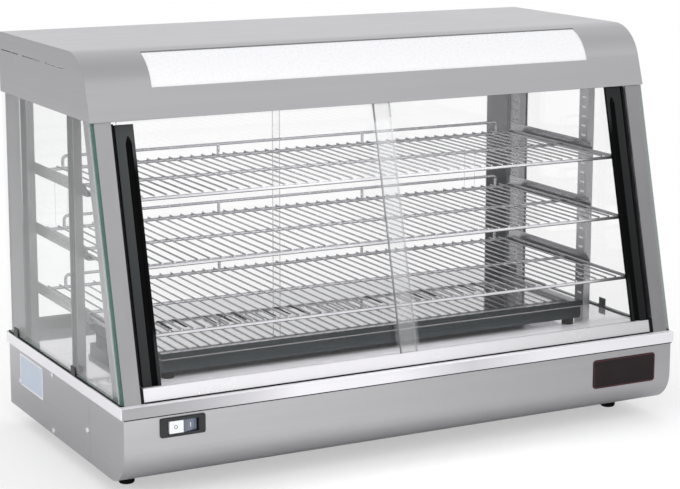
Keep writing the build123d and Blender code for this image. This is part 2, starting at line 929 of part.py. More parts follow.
with BuildPart() as rear_track_upper:
    with BuildSketch(Plane.XY.offset(rear_upper_low)):
        with Locations(rear_track_middle):
            Rectangle(2 * rear_track_half, rear_track_depth)
    extrude(amount=rear_upper_drop)
    with BuildSketch(Plane.XY.offset(rear_upper_low)):
        with Locations(*[(0, groove_y) for groove_y in rear_groove_ys.values()]):
            Rectangle(2 * rear_track_half, rear_groove)
    extrude(amount=rear_upper_groove, mode=Mode.SUBTRACT)
save(rear_track_upper, "rear_track_upper")

rear_door_low = deck_top + rear_track_floor + slide_gap
rear_door_high = rear_upper_low + door_engage
rear_door_edge = jamb_inner - rear_door_gap

for side, name in sides:
    pane_y = rear_groove_ys[name]

    with BuildPart() as rear_door:
        with BuildSketch(Plane.XY.offset(rear_door_low)):
            with Locations((side * (rear_door_edge - rear_door_lap) / 2, pane_y)):
                Rectangle(rear_door_edge + rear_door_lap, door_pane)
        extrude(amount=rear_door_high - rear_door_low)
        with BuildSketch(rear_plane.offset(pane_y + door_pane / 2 - rear_face)):
            with Locations(
                (-side * (pane_inner - jamb_flange - grip_inset), (rear_door_low + rear_door_high) / 2)
            ):
                SlotOverall(grip_length, grip_width, rotation=90)
        extrude(amount=-grip_sink, mode=Mode.SUBTRACT)
    save(rear_door, f"rear_door_{name}")

# Shelf brackets, racks and guard rails

shelf_lows = {
    level: deck_top + slot_start + slot * slot_pitch - bracket_height / 2
    for level, slot in shelf_slots.items()
}
bracket_back = rear_upright_y + upright_depth / 2
bracket_front = mid_upright_y - upright_depth / 2 - bracket_overhang
bracket_length = bracket_back - bracket_front

for side, name in sides:
    with BuildPart() as brackets:
        for shelf_low in shelf_lows.values():
            with BuildSketch(Plane.YZ.offset(side * upright_inner)):
                with BuildLine():
                    Polyline(
                        (bracket_back, shelf_low),
                        (bracket_back, shelf_low + bracket_height),
                        (bracket_front + bracket_chamfer, shelf_low + bracket_height),
                        (bracket_front, shelf_low + bracket_height - bracket_chamfer),
                        (bracket_front, shelf_low),
                        close=True,
                    )
                make_face()
            extrude(amount=-side * frame_sheet)
            with BuildSketch(Plane.XY.offset(shelf_low)):
                with Locations(
                    (side * (bracket_inner - bracket_flange / 2), (bracket_back + bracket_front) / 2)
                ):
                    Rectangle(bracket_flange, bracket_length)
            extrude(amount=frame_sheet)
            with BuildSketch(Plane.YZ.offset(side * upright_inner)):
                with Locations(
                    (mid_upright_y, shelf_low + bracket_height / 2),
                    (rear_upright_y, shelf_low + bracket_height / 2),
                ):
                    Rectangle(tab_width, tab_height)
            extrude(amount=side * (frame_sheet + tab_reach))
    save(brackets, f"brackets_{name}")

rack_back = rear_upright_y - rack_rear_inset

for level, shelf_low in shelf_lows.items():
    rod_z = shelf_low + frame_sheet + rack_rod_radius
    wire_z = rod_z + rack_rod_radius + wire_radius + seat_gap
    rack_front = front_y(wire_z) + rack_front_gap
    rack_middle_y = (rack_front + rack_back) / 2

    with BuildPart() as rack:
        with BuildLine(Plane.XY.offset(rod_z)):
            FilletPolyline(
                (0, rack_front),
                (rack_half, rack_front),
                (rack_half, rack_back),
                (0, rack_back),
                radius=rack_corner,
            )
        with BuildSketch(Plane(origin=(0, rack_front, rod_z), z_dir=(1, 0, 0))):
            Circle(rack_rod_radius)
        sweep()
        mirror(about=Plane.YZ)
        with Locations((0, rack_middle_y, rod_z)):
            Cylinder(mid_rod_radius, 2 * rack_half, rotation=(0, 90, 0))
        with Locations((0, rack_middle_y, wire_z)):
            with GridLocations(wire_pitch, wire_pitch, wire_count, 1):
                Cylinder(wire_radius, rack_back - rack_front + 2 * wire_radius, rotation=(90, 0, 0))
    save(rack, f"rack_{level}")

    guard_foot = rod_z + rack_rod_radius + seat_gap
    guard_top = guard_foot + guard_height

    with BuildPart() as guard:
        with BuildLine():
            FilletPolyline(
                (-guard_end, rack_back, guard_foot),
                (-guard_end, rack_back, guard_top),
                (guard_end, rack_back, guard_top),
                (guard_end, rack_back, guard_foot),
                radius=guard_bend,
            )
        with BuildSketch(Plane(origin=(-guard_end, rack_back, guard_foot))):
            Circle(guard_radius)
        sweep()
        with BuildSketch(Plane.XY.offset(guard_foot)):
            with Locations((-guard_post, rack_back), (guard_post, rack_back)):
                Circle(guard_radius)
        extrude(amount=guard_height)
    save(guard, f"guard_{level}")

# Canopy

hood_angle = radians(hood_lean)
lip_y = front_y(canopy_bottom) - lip_overhang
hood_back = rim_back - hood_back_inset
nose_lift = canopy_height - nose_radius
nose_y = lip_y + (nose_lift * sin(hood_angle) + nose_radius) / cos(hood_angle)


def hood_face(inset):
    low = canopy_bottom - skirt_run
    top = canopy_top - inset
    back = hood_back - inset
    slant = inset / cos(hood_angle)
    low_front = (lip_y + (low - canopy_bottom) * tan(hood_angle) + slant, low)
    top_front = (lip_y + (top - canopy_bottom) * tan(hood_angle) + slant, top)
    with BuildSketch() as profile:
        with BuildLine():
            FilletPolyline(
                low_front,
                top_front,
                (back, top),
                (back, low),
                radius=(nose_radius - inset, hood_back_bend - inset),
            )
            Line((back, low), low_front)
        make_face()
    return profile.sketch


window_high = canopy_top - window_top_drop
window_low = window_high - window_height

with BuildPart() as canopy_hood:
    with BuildSketch(Plane.YZ):
        add(hood_face(0))
        add(hood_face(panel_sheet), mode=Mode.SUBTRACT)
    extrude(amount=canopy_half, both=True)
    split(bisect_by=Plane.XY.offset(canopy_bottom), keep=Keep.TOP)
    with BuildSketch(Plane.XZ.offset(-nose_y)):
        with Locations((0, (window_low + window_high) / 2)):
            Rectangle(2 * window_half, window_height)
    extrude(amount=nose_y - lip_y, mode=Mode.SUBTRACT)
save(canopy_hood, "canopy_hood")

for side, name in sides:
    with BuildPart() as canopy_end:
        with BuildSketch(Plane.YZ.offset(side * end_inner)):
            add(hood_face(panel_sheet + seat_gap))
            with Locations((vent_middle_y, canopy_top - vent_drop)):
                with GridLocations(vent_pitch, vent_pitch, vent_count, 1):
                    SlotOverall(vent_length, vent_height, mode=Mode.SUBTRACT)
        extrude(amount=side * panel_sheet)
        split(bisect_by=Plane.XY.offset(canopy_bottom), keep=Keep.TOP)
    save(canopy_end, f"canopy_end_{name}")

ceiling_back = hood_back - panel_sheet
ceiling_front = (
    lip_y
    + (ceiling_top - canopy_bottom) * tan(hood_angle)
    + panel_sheet / cos(hood_angle)
    + butt_gap
)
flange_front = ceiling_front + ceiling_flange_setback

with BuildPart() as ceiling:
    with BuildSketch(Plane.XY.offset(ceiling_bottom)):
        with Locations((0, (ceiling_front + ceiling_back) / 2)):
            Rectangle(2 * end_inner, ceiling_back - ceiling_front)
    extrude(amount=panel_sheet)
    with BuildSketch(Plane.XY.offset(ceiling_bottom)):
        with Locations((0, ceiling_back - panel_sheet / 2)):
            Rectangle(2 * end_inner, panel_sheet)
        with Locations(
            (panel_sheet / 2 - end_inner, (flange_front + ceiling_back) / 2),
            (end_inner - panel_sheet / 2, (flange_front + ceiling_back) / 2),
        ):
            Rectangle(panel_sheet, ceiling_back - flange_front)
    extrude(amount=ceiling_flange)
save(ceiling, "ceiling")

with BuildPart() as lamp_diffuser:
    with BuildSketch(Plane.YZ):
        add(hood_face(panel_sheet + diffuser_gap))
        add(hood_face(panel_sheet + diffuser_gap + diffuser_thickness), mode=Mode.SUBTRACT)
        with Locations((nose_y, canopy_top)):
            Rectangle(
                nose_y - lip_y,
                canopy_top - window_low + diffuser_lap,
                align=(Align.MAX, Align.MAX),
                mode=Mode.INTERSECT,
            )
    extrude(amount=window_half + diffuser_lap, both=True)
save(lamp_diffuser, "lamp_diffuser")

tube_y = nose_y + tube_back
tube_z = ceiling_top + tube_rise
tube_pins = ((0, tube_y, tube_z - tube_pin_spread), (0, tube_y, tube_z + tube_pin_spread))

with BuildPart() as lamp_tube:
    with Locations((0, tube_y, tube_z)):
        Cylinder(tube_radius, tube_length, rotation=(0, 90, 0))
    with Locations(*tube_pins):
        Cylinder(tube_pin_radius, tube_length + 2 * tube_pin_length, rotation=(0, 90, 0))
save(lamp_tube, "lamp_tube")

with BuildPart() as lamp_holders:
    with BuildSketch(Plane.XY.offset(ceiling_top)):
        with Locations((0, tube_y)):
            with GridLocations(tube_length + holder_width, holder_depth, 2, 1):
                Rectangle(holder_width, holder_depth)
    extrude(amount=holder_height)
    with Locations(*tube_pins):
        Cylinder(
            tube_pin_radius + pin_gap,
            tube_length + 2 * (tube_pin_length + slide_gap),
            rotation=(0, 90, 0),
            mode=Mode.SUBTRACT,
        )
save(lamp_holders, "lamp_holders")

with BuildPart() as ballast:
    with BuildSketch(Plane.XY.offset(ceiling_top)):
        with Locations((0, ballast_y)):
            Rectangle(ballast_length, ballast_depth)
    extrude(amount=ballast_height)
save(ballast, "ballast")
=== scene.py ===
import json
import bmesh
import bpy
from math import cos, pi, radians, sin
from mathutils import Matrix, Vector

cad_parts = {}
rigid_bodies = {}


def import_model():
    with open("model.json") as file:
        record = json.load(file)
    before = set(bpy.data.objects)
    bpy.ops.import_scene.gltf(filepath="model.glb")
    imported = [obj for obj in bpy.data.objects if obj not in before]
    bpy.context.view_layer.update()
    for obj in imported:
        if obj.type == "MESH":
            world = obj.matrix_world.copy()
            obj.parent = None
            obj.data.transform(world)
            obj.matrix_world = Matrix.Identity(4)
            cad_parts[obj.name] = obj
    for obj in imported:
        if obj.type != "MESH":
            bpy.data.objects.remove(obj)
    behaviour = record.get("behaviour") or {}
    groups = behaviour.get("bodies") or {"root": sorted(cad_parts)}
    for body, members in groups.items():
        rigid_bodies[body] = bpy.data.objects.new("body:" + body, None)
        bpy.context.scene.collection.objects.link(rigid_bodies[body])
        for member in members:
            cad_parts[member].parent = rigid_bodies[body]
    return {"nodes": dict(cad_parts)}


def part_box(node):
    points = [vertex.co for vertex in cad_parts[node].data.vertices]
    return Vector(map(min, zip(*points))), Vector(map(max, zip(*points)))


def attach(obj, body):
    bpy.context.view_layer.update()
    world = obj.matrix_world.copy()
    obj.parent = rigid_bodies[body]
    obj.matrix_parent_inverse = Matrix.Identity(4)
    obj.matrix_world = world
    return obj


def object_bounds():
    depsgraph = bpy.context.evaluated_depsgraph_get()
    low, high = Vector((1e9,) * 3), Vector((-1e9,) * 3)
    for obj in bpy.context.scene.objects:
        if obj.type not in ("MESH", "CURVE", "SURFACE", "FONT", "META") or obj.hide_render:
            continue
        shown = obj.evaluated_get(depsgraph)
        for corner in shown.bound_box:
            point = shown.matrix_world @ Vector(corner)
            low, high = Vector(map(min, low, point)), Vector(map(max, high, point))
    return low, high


for old in list(bpy.data.objects):
    bpy.data.objects.remove(old)

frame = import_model()
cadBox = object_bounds()
nodes = frame["nodes"]
stageScene = bpy.context.scene
stageScene.view_settings.view_transform = "Standard"


class Lead:
    # one socket of a node tree, so that sums on it read as plain sums
    def __init__(self, sheet, socket):
        self.sheet, self.socket = sheet, socket

    def work(self, operation, *parts):
        return self.sheet.node("ShaderNodeMath", {"operation": operation}, dict(enumerate(parts)))

    def __add__(self, other):
        return self.work("ADD", self, other)

    def __sub__(self, other):
        return self.work("SUBTRACT", self, other)

    def __rsub__(self, other):
        return self.work("SUBTRACT", other, self)

    def __mul__(self, other):
        return self.work("MULTIPLY", self, other)

    def __truediv__(self, other):
        return self.work("DIVIDE", self, other)

    def __gt__(self, other):
        return self.work("GREATER_THAN", self, other)

    def __lt__(self, other):
        return self.work("LESS_THAN", self, other)

    def __abs__(self):
        return self.work("ABSOLUTE", self)

    def clipped(self):
        return self.sheet.node("ShaderNodeClamp", {}, {0: self})

    def rise(self, start, stop):
        # nought up to the start, one from the stop on
        return ((self - start) / (stop - start)).clipped()

    def swing(self, amount):
        # noise laid evenly about nought
        return (self - 0.5) * amount


class Sheet:
    # the nodes of one material or of the world
    def __init__(self, owner):
        owner.use_nodes = True
        self.tree = owner.node_tree
        self.tree.nodes.clear()

    def node(self, kind, settings=None, inputs=None, out=0):
        made = self.tree.nodes.new(kind)
        for key, value in (settings or {}).items():
            setattr(made, key, value)
        for key, value in (inputs or {}).items():
            if isinstance(value, Lead):
                self.tree.links.new(value.socket, made.inputs[key])
            else:
                made.inputs[key].default_value = value
        return Lead(self, made.outputs[out]) if len(made.outputs) else made

    def mixed(self, amount, first, second, mode="MIX"):
        return self.node("ShaderNodeMix", {"data_type": "RGBA", "blend_type": mode},
                         {0: amount, 6: first, 7: second}, 2)

    def dimmed(self, amount, colour):
        return self.mixed(amount, colour, (0, 0, 0, 1))

    def grain(self, scale, detail=2.0, rough=0.5):
        # noise, with one scale or one for each axis
        place = self.node("ShaderNodeTexCoord", out="Object")
        scales = scale if isinstance(scale, tuple) else (scale, scale, scale)
        place = self.node("ShaderNodeMapping", {}, {"Vector": place, "Scale": scales})
        return self.node("ShaderNodeTexNoise", {}, {"Vector": place, "Scale": 1.0, "Detail": detail,
                                                    "Roughness": rough})

    def axis(self, name, out="Object"):
        place = self.node("ShaderNodeTexCoord", out=out)
        return self.node("ShaderNodeSeparateXYZ", {}, {0: place}, name)

    def facing(self, name):
        return self.axis(name, "Normal")

    def along(self, direction, out="Object"):
        place = self.node("ShaderNodeTexCoord", out=out)
        return self.node("ShaderNodeVectorMath", {"operation": "DOT_PRODUCT"}, {0: place, 1: direction},
                         "Value")

    def bump(self, strength, depth, height):
        return self.node("ShaderNodeBump", {}, {"Strength": strength, "Distance": depth, "Height": height})

    def surface(self, shader):
        self.node("ShaderNodeOutputMaterial", {}, {"Surface": shader})

    def coated(self, inputs):
        self.surface(self.node("ShaderNodeBsdfPrincipled", {}, inputs))


def finish(name):
    made = bpy.data.materials.new(name)
    return made, Sheet(made)


def tone(level, tint=(1.0, 1.0, 1.0)):
    return (level * tint[0], level * tint[1], level * tint[2], 1.0)


# camera
photoCamera = {
    "place": (-1.3812, -2.6170, 0.8959),
    "yaw": 27.791,
    "pitch": 10.930,
    "roll": -0.104,
    "focal": 2005.1,        # in pixels of the 680 wide picture
    "rise": -0.05,          # the upright edges stand nearly parallel in the picture
    "pictureWidth": 680,
    "sensor": 36.0,
}


def addCamera(view):
    lens = bpy.data.cameras.new("photoCamera")
    lens.sensor_width = view["sensor"]
    lens.lens = view["focal"] / view["pictureWidth"] * view["sensor"]
    lens.shift_y = view["rise"]
    camera = bpy.data.objects.new("photoCamera", lens)
    camera.location = view["place"]
    camera.rotation_euler = (radians(90 - view["pitch"]), radians(view["roll"]), radians(-view["yaw"]))
    stageScene.collection.objects.link(camera)
    stageScene.camera = camera


addCamera(photoCamera)
print("camera set")

# floor, world and lamps
studio = {
    "floorReach": 7.0,
    "floorWhite": 0.97,
    # how bright metal sees the floor beside, in front and further ahead of the case, and close to it: painted
    # light and shade seen only in reflections, darker close to the case as a painted shadow
    "floorMirrored": {"beside": 0.93, "frontLeft": 1.13, "frontRight": 0.55, "ahead": 0.76, "close": 0.68},
    "leftToRight": (-0.4375, 0.8125),
    "ahead": (-0.9, -1.6143),
    "beside": {"x": (0.45, 0.61667), "y": (-0.3, -0.05)},
    "closeReach": 0.42,
    # close beside the case the floor darkens towards the back, a painted shade seen in reflections
    "sideEdge": 0.05,
    "sideFront": 1.12,
    "sideFall": 0.34,
    "sideBack": (-0.04, 0.36),
    "shadowShare": 0.55,
    "shadowReach": (0.70, 1.3),     # the shadow fades into plain white between these
    "roomTurn": (-0.3125, 0.3125),  # from the front of the room to its back
    "roomBack": 1.0,
    "roomBackLeftFall": 1.1,
    "roomTopFall": 0.25,
    "roomFront": 1.25,
    "roomSideFall": 2.1,            # the front of the room darkens to the sides, less so higher up
    "roomSideLift": 2.4,
    "roomFrontTopFall": 0.55,
    "roomDarkest": 0.12,
    "ambient": 0.68,
    # place, point aimed at, width and depth, power; the last two are inside the case
    "lamps": {
        "keyLamp": ((-1.7, -2.2, 2.6), (0, 0, 0.3), (2.2, 2.2), 28.0),
        "topLamp": ((0.4, 0.6, 2.9), (0, 0, 0.3), (2.6, 2.6), 18.0),
        "fillLamp": ((2.4, -1.6, 1.5), (0, 0, 0.3), (2.0, 2.0), 12.0),
        "frontLamp": ((-0.5, -2.9, 1.0), (0, 0, 0.3), (1.6, 1.6), 15.0),
        "sideLamp": ((-3.0, 0.2, 1.1), (0, 0, 0.3), (1.6, 1.6), 12.0),
        "caseLamp": ((0, -0.05, 0.50), (0, 0, 0.3), (0.44, 0.44), 2.0),
        "deckLamp": ((-0.02, -0.178, 0.180), (-0.02, -0.125, 0.138), (0.74, 0.02), 0.14),
    },
}


def addFloor(plan):
    form = bmesh.new()
    bmesh.ops.create_grid(form, x_segments=1, y_segments=1, size=plan["floorReach"])
    mesh = bpy.data.meshes.new("studioFloor")
    form.to_mesh(mesh)
    form.free()
    floor = bpy.data.objects.new("studioFloor", mesh)
    stageScene.collection.objects.link(floor)
    material, sheet = finish("studioFloorPaint")
    x, y = sheet.axis("X"), sheet.axis("Y")
    place = sheet.node("ShaderNodeTexCoord", out="Object")
    reach = sheet.node("ShaderNodeVectorMath", {"operation": "LENGTH"}, {0: place}, "Value")
    plain = 1 - (1 - reach.rise(*plan["shadowReach"])) * plan["shadowShare"]
    seen = sheet.node("ShaderNodeLightPath", out="Is Camera Ray")
    shine = {part: tone(level) for part, level in plan["floorMirrored"].items()}
    # painted light and shade for reflections: brighter in front on the left, darker to the right, ahead and
    # close to the case
    mirrored = sheet.mixed(x.rise(*plan["leftToRight"]), shine["frontLeft"], shine["frontRight"])
    mirrored = sheet.mixed(y.rise(*plan["ahead"]), mirrored, shine["ahead"])
    aside = abs(x).rise(*plan["beside"]["x"]) * y.rise(*plan["beside"]["y"])
    mirrored = sheet.mixed(aside, mirrored, shine["beside"])
    side, back = cadBox[1].x, cadBox[1].y
    gapX, gapY = abs(x) - side, abs(y) - back
    gap = (gapX.work("MAXIMUM", gapX, gapY) / plan["closeReach"]).clipped()
    mirrored = sheet.mixed(gap, shine["close"], mirrored)
    beside = gapX.rise(0, plan["sideEdge"]) * y.rise(-back, plan["sideEdge"] - back) * (1 - gap)
    backward = plan["sideFront"] - y.rise(*plan["sideBack"]) * plan["sideFall"]
    mirrored = sheet.mixed(beside, mirrored, backward, "MULTIPLY")
    paint = sheet.mixed(seen, mirrored, tone(plan["floorWhite"]))
    matte = sheet.node("ShaderNodeBsdfDiffuse", {}, {"Color": paint})
    white = sheet.node("ShaderNodeEmission", {}, {"Color": tone(1.0), "Strength": 1.0})
    sheet.surface(sheet.node("ShaderNodeMixShader", {}, {0: plain * seen, 1: matte, 2: white}))
    mesh.materials.append(material)


def addWorld(plan):
    world = bpy.data.worlds.new("studioRoom")
    stageScene.world = world
    sheet = Sheet(world)
    camera, glossy, through = (sheet.node("ShaderNodeLightPath", out="Is " + kind + " Ray")
                               for kind in ("Camera", "Glossy", "Transmission"))
    # white behind the case, greyer overhead and towards the sides in front
    toRight, toBack, upward = (sheet.axis(name, "Generated") for name in "XYZ")
    rear = plan["roomBack"] - (0 - toRight).clipped() * plan["roomBackLeftFall"]
    rear = rear * (1 - abs(upward) * plan["roomTopFall"])
    sideFall = (1 - upward * plan["roomSideLift"]).clipped() * plan["roomSideFall"]
    front = plan["roomFront"] - abs(toRight) * sideFall
    front = front * (1 - upward.clipped() * plan["roomFrontTopFall"])
    back = toBack.rise(*plan["roomTurn"])
    room = back * rear + (1 - back) * front
    room = room.work("MAXIMUM", room, plan["roomDarkest"])
    plain = (camera + through).clipped()
    level = glossy * room + (1 - glossy) * plan["ambient"]
    level = plain + (1 - plain) * level
    light = sheet.node("ShaderNodeBackground", {}, {"Color": tone(1.0), "Strength": level})
    sheet.node("ShaderNodeOutputWorld", {}, {"Surface": light})


def addLamps(plan):
    for name, (place, aim, size, power) in plan["lamps"].items():
        lamp = bpy.data.lights.new(name, "AREA")
        lamp.shape, lamp.energy = "RECTANGLE", power
        lamp.size, lamp.size_y = size
        made = bpy.data.objects.new(name, lamp)
        made.location = place
        made.rotation_euler = (Vector(aim) - Vector(place)).to_track_quat("-Z", "Y").to_euler()
        made.visible_camera = made.visible_glossy = made.visible_transmission = False
        stageScene.collection.objects.link(made)


addFloor(studio)
addWorld(studio)
addLamps(studio)
print("studio lit")

# sheet steel and other metals
steelTint = (0.99, 0.978, 1.022)
metals = {
    # level of grey, roughness, share of metal, way of the grain and its depth; some keep only a share of the
    # level on the left half, towards the right end or low down on front faces, all painted shade, and front
    # faces, the inside of a channel and the wall behind its slots can have levels of their own: painted light
    # on the jamb fronts, painted shade inside the channels and painted light on the wall behind their slots
    "canopySteel": {"level": 0.56, "rough": 0.34, "metal": 1.0, "along": "X", "bump": 0.05},
    "baseSteel": {"level": 0.54, "rough": 0.33, "metal": 1.0, "along": "X", "bump": 0.05},
    "postSteel": {"level": 0.49, "rough": 0.32, "metal": 0.96, "along": "Z", "bump": 0.04, "right": 0.88},
    "jambSteel": {"level": 0.47, "rough": 0.32, "metal": 0.5, "along": "Z", "bump": 0.04, "front": 1.0,
                  "low": 0.16},
    "midUpright": {"level": 0.50, "rough": 0.30, "metal": 0.9, "along": "Z", "bump": 0.04, "left": 0.66,
                   "inside": 0.24, "slots": 0.95, "channel": "mid_upright_left"},
    # the rear uprights keep a lower level than the mid ones, painted shade
    "rearUpright": {"level": 0.40, "rough": 0.30, "metal": 0.9, "along": "Z", "bump": 0.04, "left": 0.70,
                    "inside": 0.24, "slots": 0.95, "channel": "rear_upright_left"},
    "bracketSteel": {"level": 0.44, "rough": 0.28, "metal": 0.9, "along": "Y", "bump": 0.04, "left": 0.74},
    "trackAluminium": {"level": 0.90, "rough": 0.26, "metal": 0.4, "along": "X", "bump": 0.0, "streak": 0.012,
                       "haze": 0.0, "right": 0.72},
    # the rear tracks are a darker copy of the steel, painted shade
    "shadedRearTrackSteel": {"level": 0.28, "rough": 0.30, "metal": 0.8, "along": "X", "bump": 0.03},
    "innerSteel": {"level": 0.54, "rough": 0.38, "metal": 0.9, "along": "X", "bump": 0.05},
    "screwNickel": {"level": 0.90, "rough": 0.18, "metal": 0.55, "along": "Z", "bump": 0.02},
    "hemSteel": {"level": 0.20, "rough": 0.22, "metal": 0.35, "along": "X", "bump": 0.0},
}
# what all of them share: scales and detail of the grain and streaks, and where the levels above change
brushing = {
    "fine": {"X": (2.2, 420, 420), "Y": (420, 2.2, 420), "Z": (420, 420, 2.2)},
    "fineDetail": 3,
    "streaks": {"X": (0.7, 60, 60), "Y": (60, 0.7, 60), "Z": (60, 60, 0.7)},
    "streakDetail": 2,
    "streak": 0.06,
    "turned": {"X": "Y", "Y": "X", "Z": "Y"},       # a face that looks along the grain is brushed this way
    "turnFrom": 0.7,
    "cloud": (5, 4, 0.6),
    "cloudShare": 0.25,
    "cloudLevel": 0.9,
    "cloudTint": (1.0, 0.995, 0.985),
    "cloudHaze": 0.10,
    "haze": 0.16,
    "depth": 0.0004,
    "forward": -0.5,                # front faces look further forward than this
    "lowDown": (0.40, 0.30),        # heights between which the front faces darken, a painted shade behind the lower racks
    "toRight": (0, 0.45455),
    "wall": 0.0003,                 # kept clear of a channel's outer faces
}


def channelInside(sheet, upright, wall):
    # what lies within a slotted channel, on both sides of the case
    low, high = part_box(upright)
    middle, half = (low.y + high.y) / 2, (high.y - low.y) / 2 - wall
    web = min(abs(low.x), abs(high.x)) + wall
    return (abs(sheet.axis("X")) > web) * (abs(sheet.axis("Y") - middle) < half)


def brushedMetal(name, look, brush):
    material, sheet = finish(name)
    way = look["along"]
    across = brush["turned"][way]
    turned = abs(sheet.facing(way)) > brush["turnFrom"]

    def brushed(scales, detail):
        return sheet.grain(scales[way], detail) * (1 - turned) + sheet.grain(scales[across], detail) * turned

    fine = brushed(brush["fine"], brush["fineDetail"])
    streak = brushed(brush["streaks"], brush["streakDetail"])
    cloud = sheet.grain(*brush["cloud"])
    level, spread = look["level"], look.get("streak", brush["streak"])
    base = sheet.mixed(streak, tone(level * (1 - spread), steelTint), tone(level * (1 + spread), steelTint))
    clouded = tone(level * brush["cloudLevel"], brush["cloudTint"])
    base = sheet.mixed(cloud * brush["cloudShare"], base, clouded)
    # painted light and shade: front faces get a level of their own, darker low down
    if "front" in look:
        drop = sheet.axis("Z").rise(*brush["lowDown"]) * (1 - look["low"])
        front = sheet.dimmed(drop, tone(look["front"], steelTint))
        base = sheet.mixed(sheet.facing("Y") < brush["forward"], base, front)
    # painted shade: darker on the left half and towards the right end
    if "left" in look:
        base = sheet.dimmed((sheet.axis("X") < 0) * (1 - look["left"]), base)
    if "right" in look:
        base = sheet.dimmed(sheet.axis("X").rise(*brush["toRight"]) * (1 - look["right"]), base)
    if "inside" in look:
        # painted light: light falls on the back wall of the right channels and shows through their slots; the
        # rest of the inside is painted dark as shade
        lit = (sheet.axis("X") > 0) * (sheet.facing("Y") < brush["forward"])
        inside = sheet.mixed(lit, tone(look["inside"], steelTint), tone(look["slots"], steelTint))
        base = sheet.mixed(channelInside(sheet, look["channel"], brush["wall"]), base, inside)
    rough = fine.swing(look.get("haze", brush["haze"])) + cloud.swing(brush["cloudHaze"]) + look["rough"]
    sheet.coated({"Base Color": base, "Metallic": look["metal"], "Roughness": rough.clipped(),
                  "Normal": sheet.bump(look["bump"], brush["depth"], fine)})
    return material


finishes = {name: brushedMetal(name, look, brushing) for name, look in metals.items()}

# deck: a polished top, satin in front of the heater, and a bright satin rim, painted darker along parts of
# its front as a painted shade in its reflection
deckLook = {
    "top": 0.78, "topMetal": 0.75, "topRough": 0.07,
    "rim": 0.88, "rimMetal": 0.26, "rimRough": 0.24,
    "stripMetal": 0.16, "stripRough": 0.22, "strip": (-0.112, -0.12867),
    "upward": (0.35, 0.75), "forward": (-0.5, -0.75),
    "lines": ((0.4, 150, 150), 2), "linesFrom": 0.35, "linesShare": 0.45, "linesHaze": 0.06,
    "cloud": (6, 4, 0.6), "cloudShare": 0.12, "dark": 0.50,
    # painted shade on the rim's front: darker towards its left end and in a patch right of the middle
    "dull": 0.57, "rimShadeRun": (-0.45, -0.19), "shadePatch": 0.26, "shadePatchMiddle": 0.09, "shadePatchReach": 0.12,
    "specular": 0.25,
}


def deckSheet(look):
    material, sheet = finish("deckSheet")
    x = sheet.axis("X")
    upper = sheet.facing("Z").rise(*look["upward"])
    lines = sheet.grain(*look["lines"])
    cloud = sheet.grain(*look["cloud"])
    base = sheet.mixed(upper, tone(look["rim"], steelTint), tone(look["top"], steelTint))
    rolled = (lines - look["linesFrom"]).clipped() * upper * look["linesShare"]
    base = sheet.mixed(cloud * look["cloudShare"] + rolled, base, tone(look["dark"], steelTint))
    # painted shade along the rim's front
    rimFront = sheet.facing("Y").rise(*look["forward"]) * (1 - upper)
    run = x.rise(*look["rimShadeRun"])
    shadePatch = abs(x - look["shadePatchMiddle"]).rise(look["shadePatchReach"], 0) * look["shadePatch"]
    base = sheet.dimmed(rimFront * ((1 - run * run) * look["dull"] + shadePatch), base)
    satin = sheet.axis("Y").rise(*look["strip"])

    def shared(kind):
        top = satin * (look["strip" + kind] - look["top" + kind]) + look["top" + kind]
        return upper * (top - look["rim" + kind]) + look["rim" + kind]

    rough = shared("Rough") + lines.swing(look["linesHaze"])
    sheet.coated({"Base Color": base, "Metallic": shared("Metal"), "Roughness": rough.clipped(),
                  "Specular IOR Level": look["specular"]})
    return material


finishes["deckSheet"] = deckSheet(deckLook)

# heater box: mirror bright on top and underneath, its sides painted dark grey, a painted shade and reflection
heaterLook = {"top": (0.68, 0.68, 0.70, 1), "side": (0.058, 0.070, 0.074, 1), "topRough": 0.03,
              "sideRough": 0.24, "upward": (0.35, 0.75), "fine": ((2.2, 420, 420), 3), "fineRough": 0.05,
              "cloud": (9, 4, 0.6), "heat": (0.30, 0.28, 0.26, 1), "heatTop": 0.17, "heatAll": 0.05}


def heaterSheet(look):
    material, sheet = finish("heaterSheet")
    upper = abs(sheet.facing("Z")).rise(*look["upward"])
    cloud = sheet.grain(*look["cloud"])
    fine = sheet.grain(*look["fine"])
    # painted shade: the sides near black, top and underside bright
    base = sheet.mixed(upper, look["side"], look["top"])
    base = sheet.mixed(cloud * (upper * look["heatTop"] + look["heatAll"]), base, look["heat"])
    rough = upper * (look["topRough"] - look["sideRough"]) + look["sideRough"] + fine * look["fineRough"]
    sheet.coated({"Base Color": base, "Metallic": 1.0, "Roughness": rough.clipped()})
    return material


finishes["heaterSheet"] = heaterSheet(heaterLook)

# bright wire of the racks, with the duller spots that the welds leave
wires = {
    # level of grey all round, a painted highlight on front faces, and painted shade at the right end of these
    # and underneath
    "rackWire": {"level": 0.48, "front": 0.84, "endShade": 0.12, "underShade": 0.04, "rough": 0.22, "metal": 0.65},
    "guardWire": {"level": 0.66, "front": 0.66, "endShade": 0.40, "underShade": 0.30, "rough": 0.26, "metal": 0.50},
}
drawing = {"spots": (30, 3), "spotLevels": (0.88, 1.1), "fine": (300, 2), "haze": 0.12,
           "bump": (0.05, 0.0003), "forward": (-0.2, -0.7), "rightEnd": (0.34, 0.41143),
           "below": (-0.3, -0.63333)}


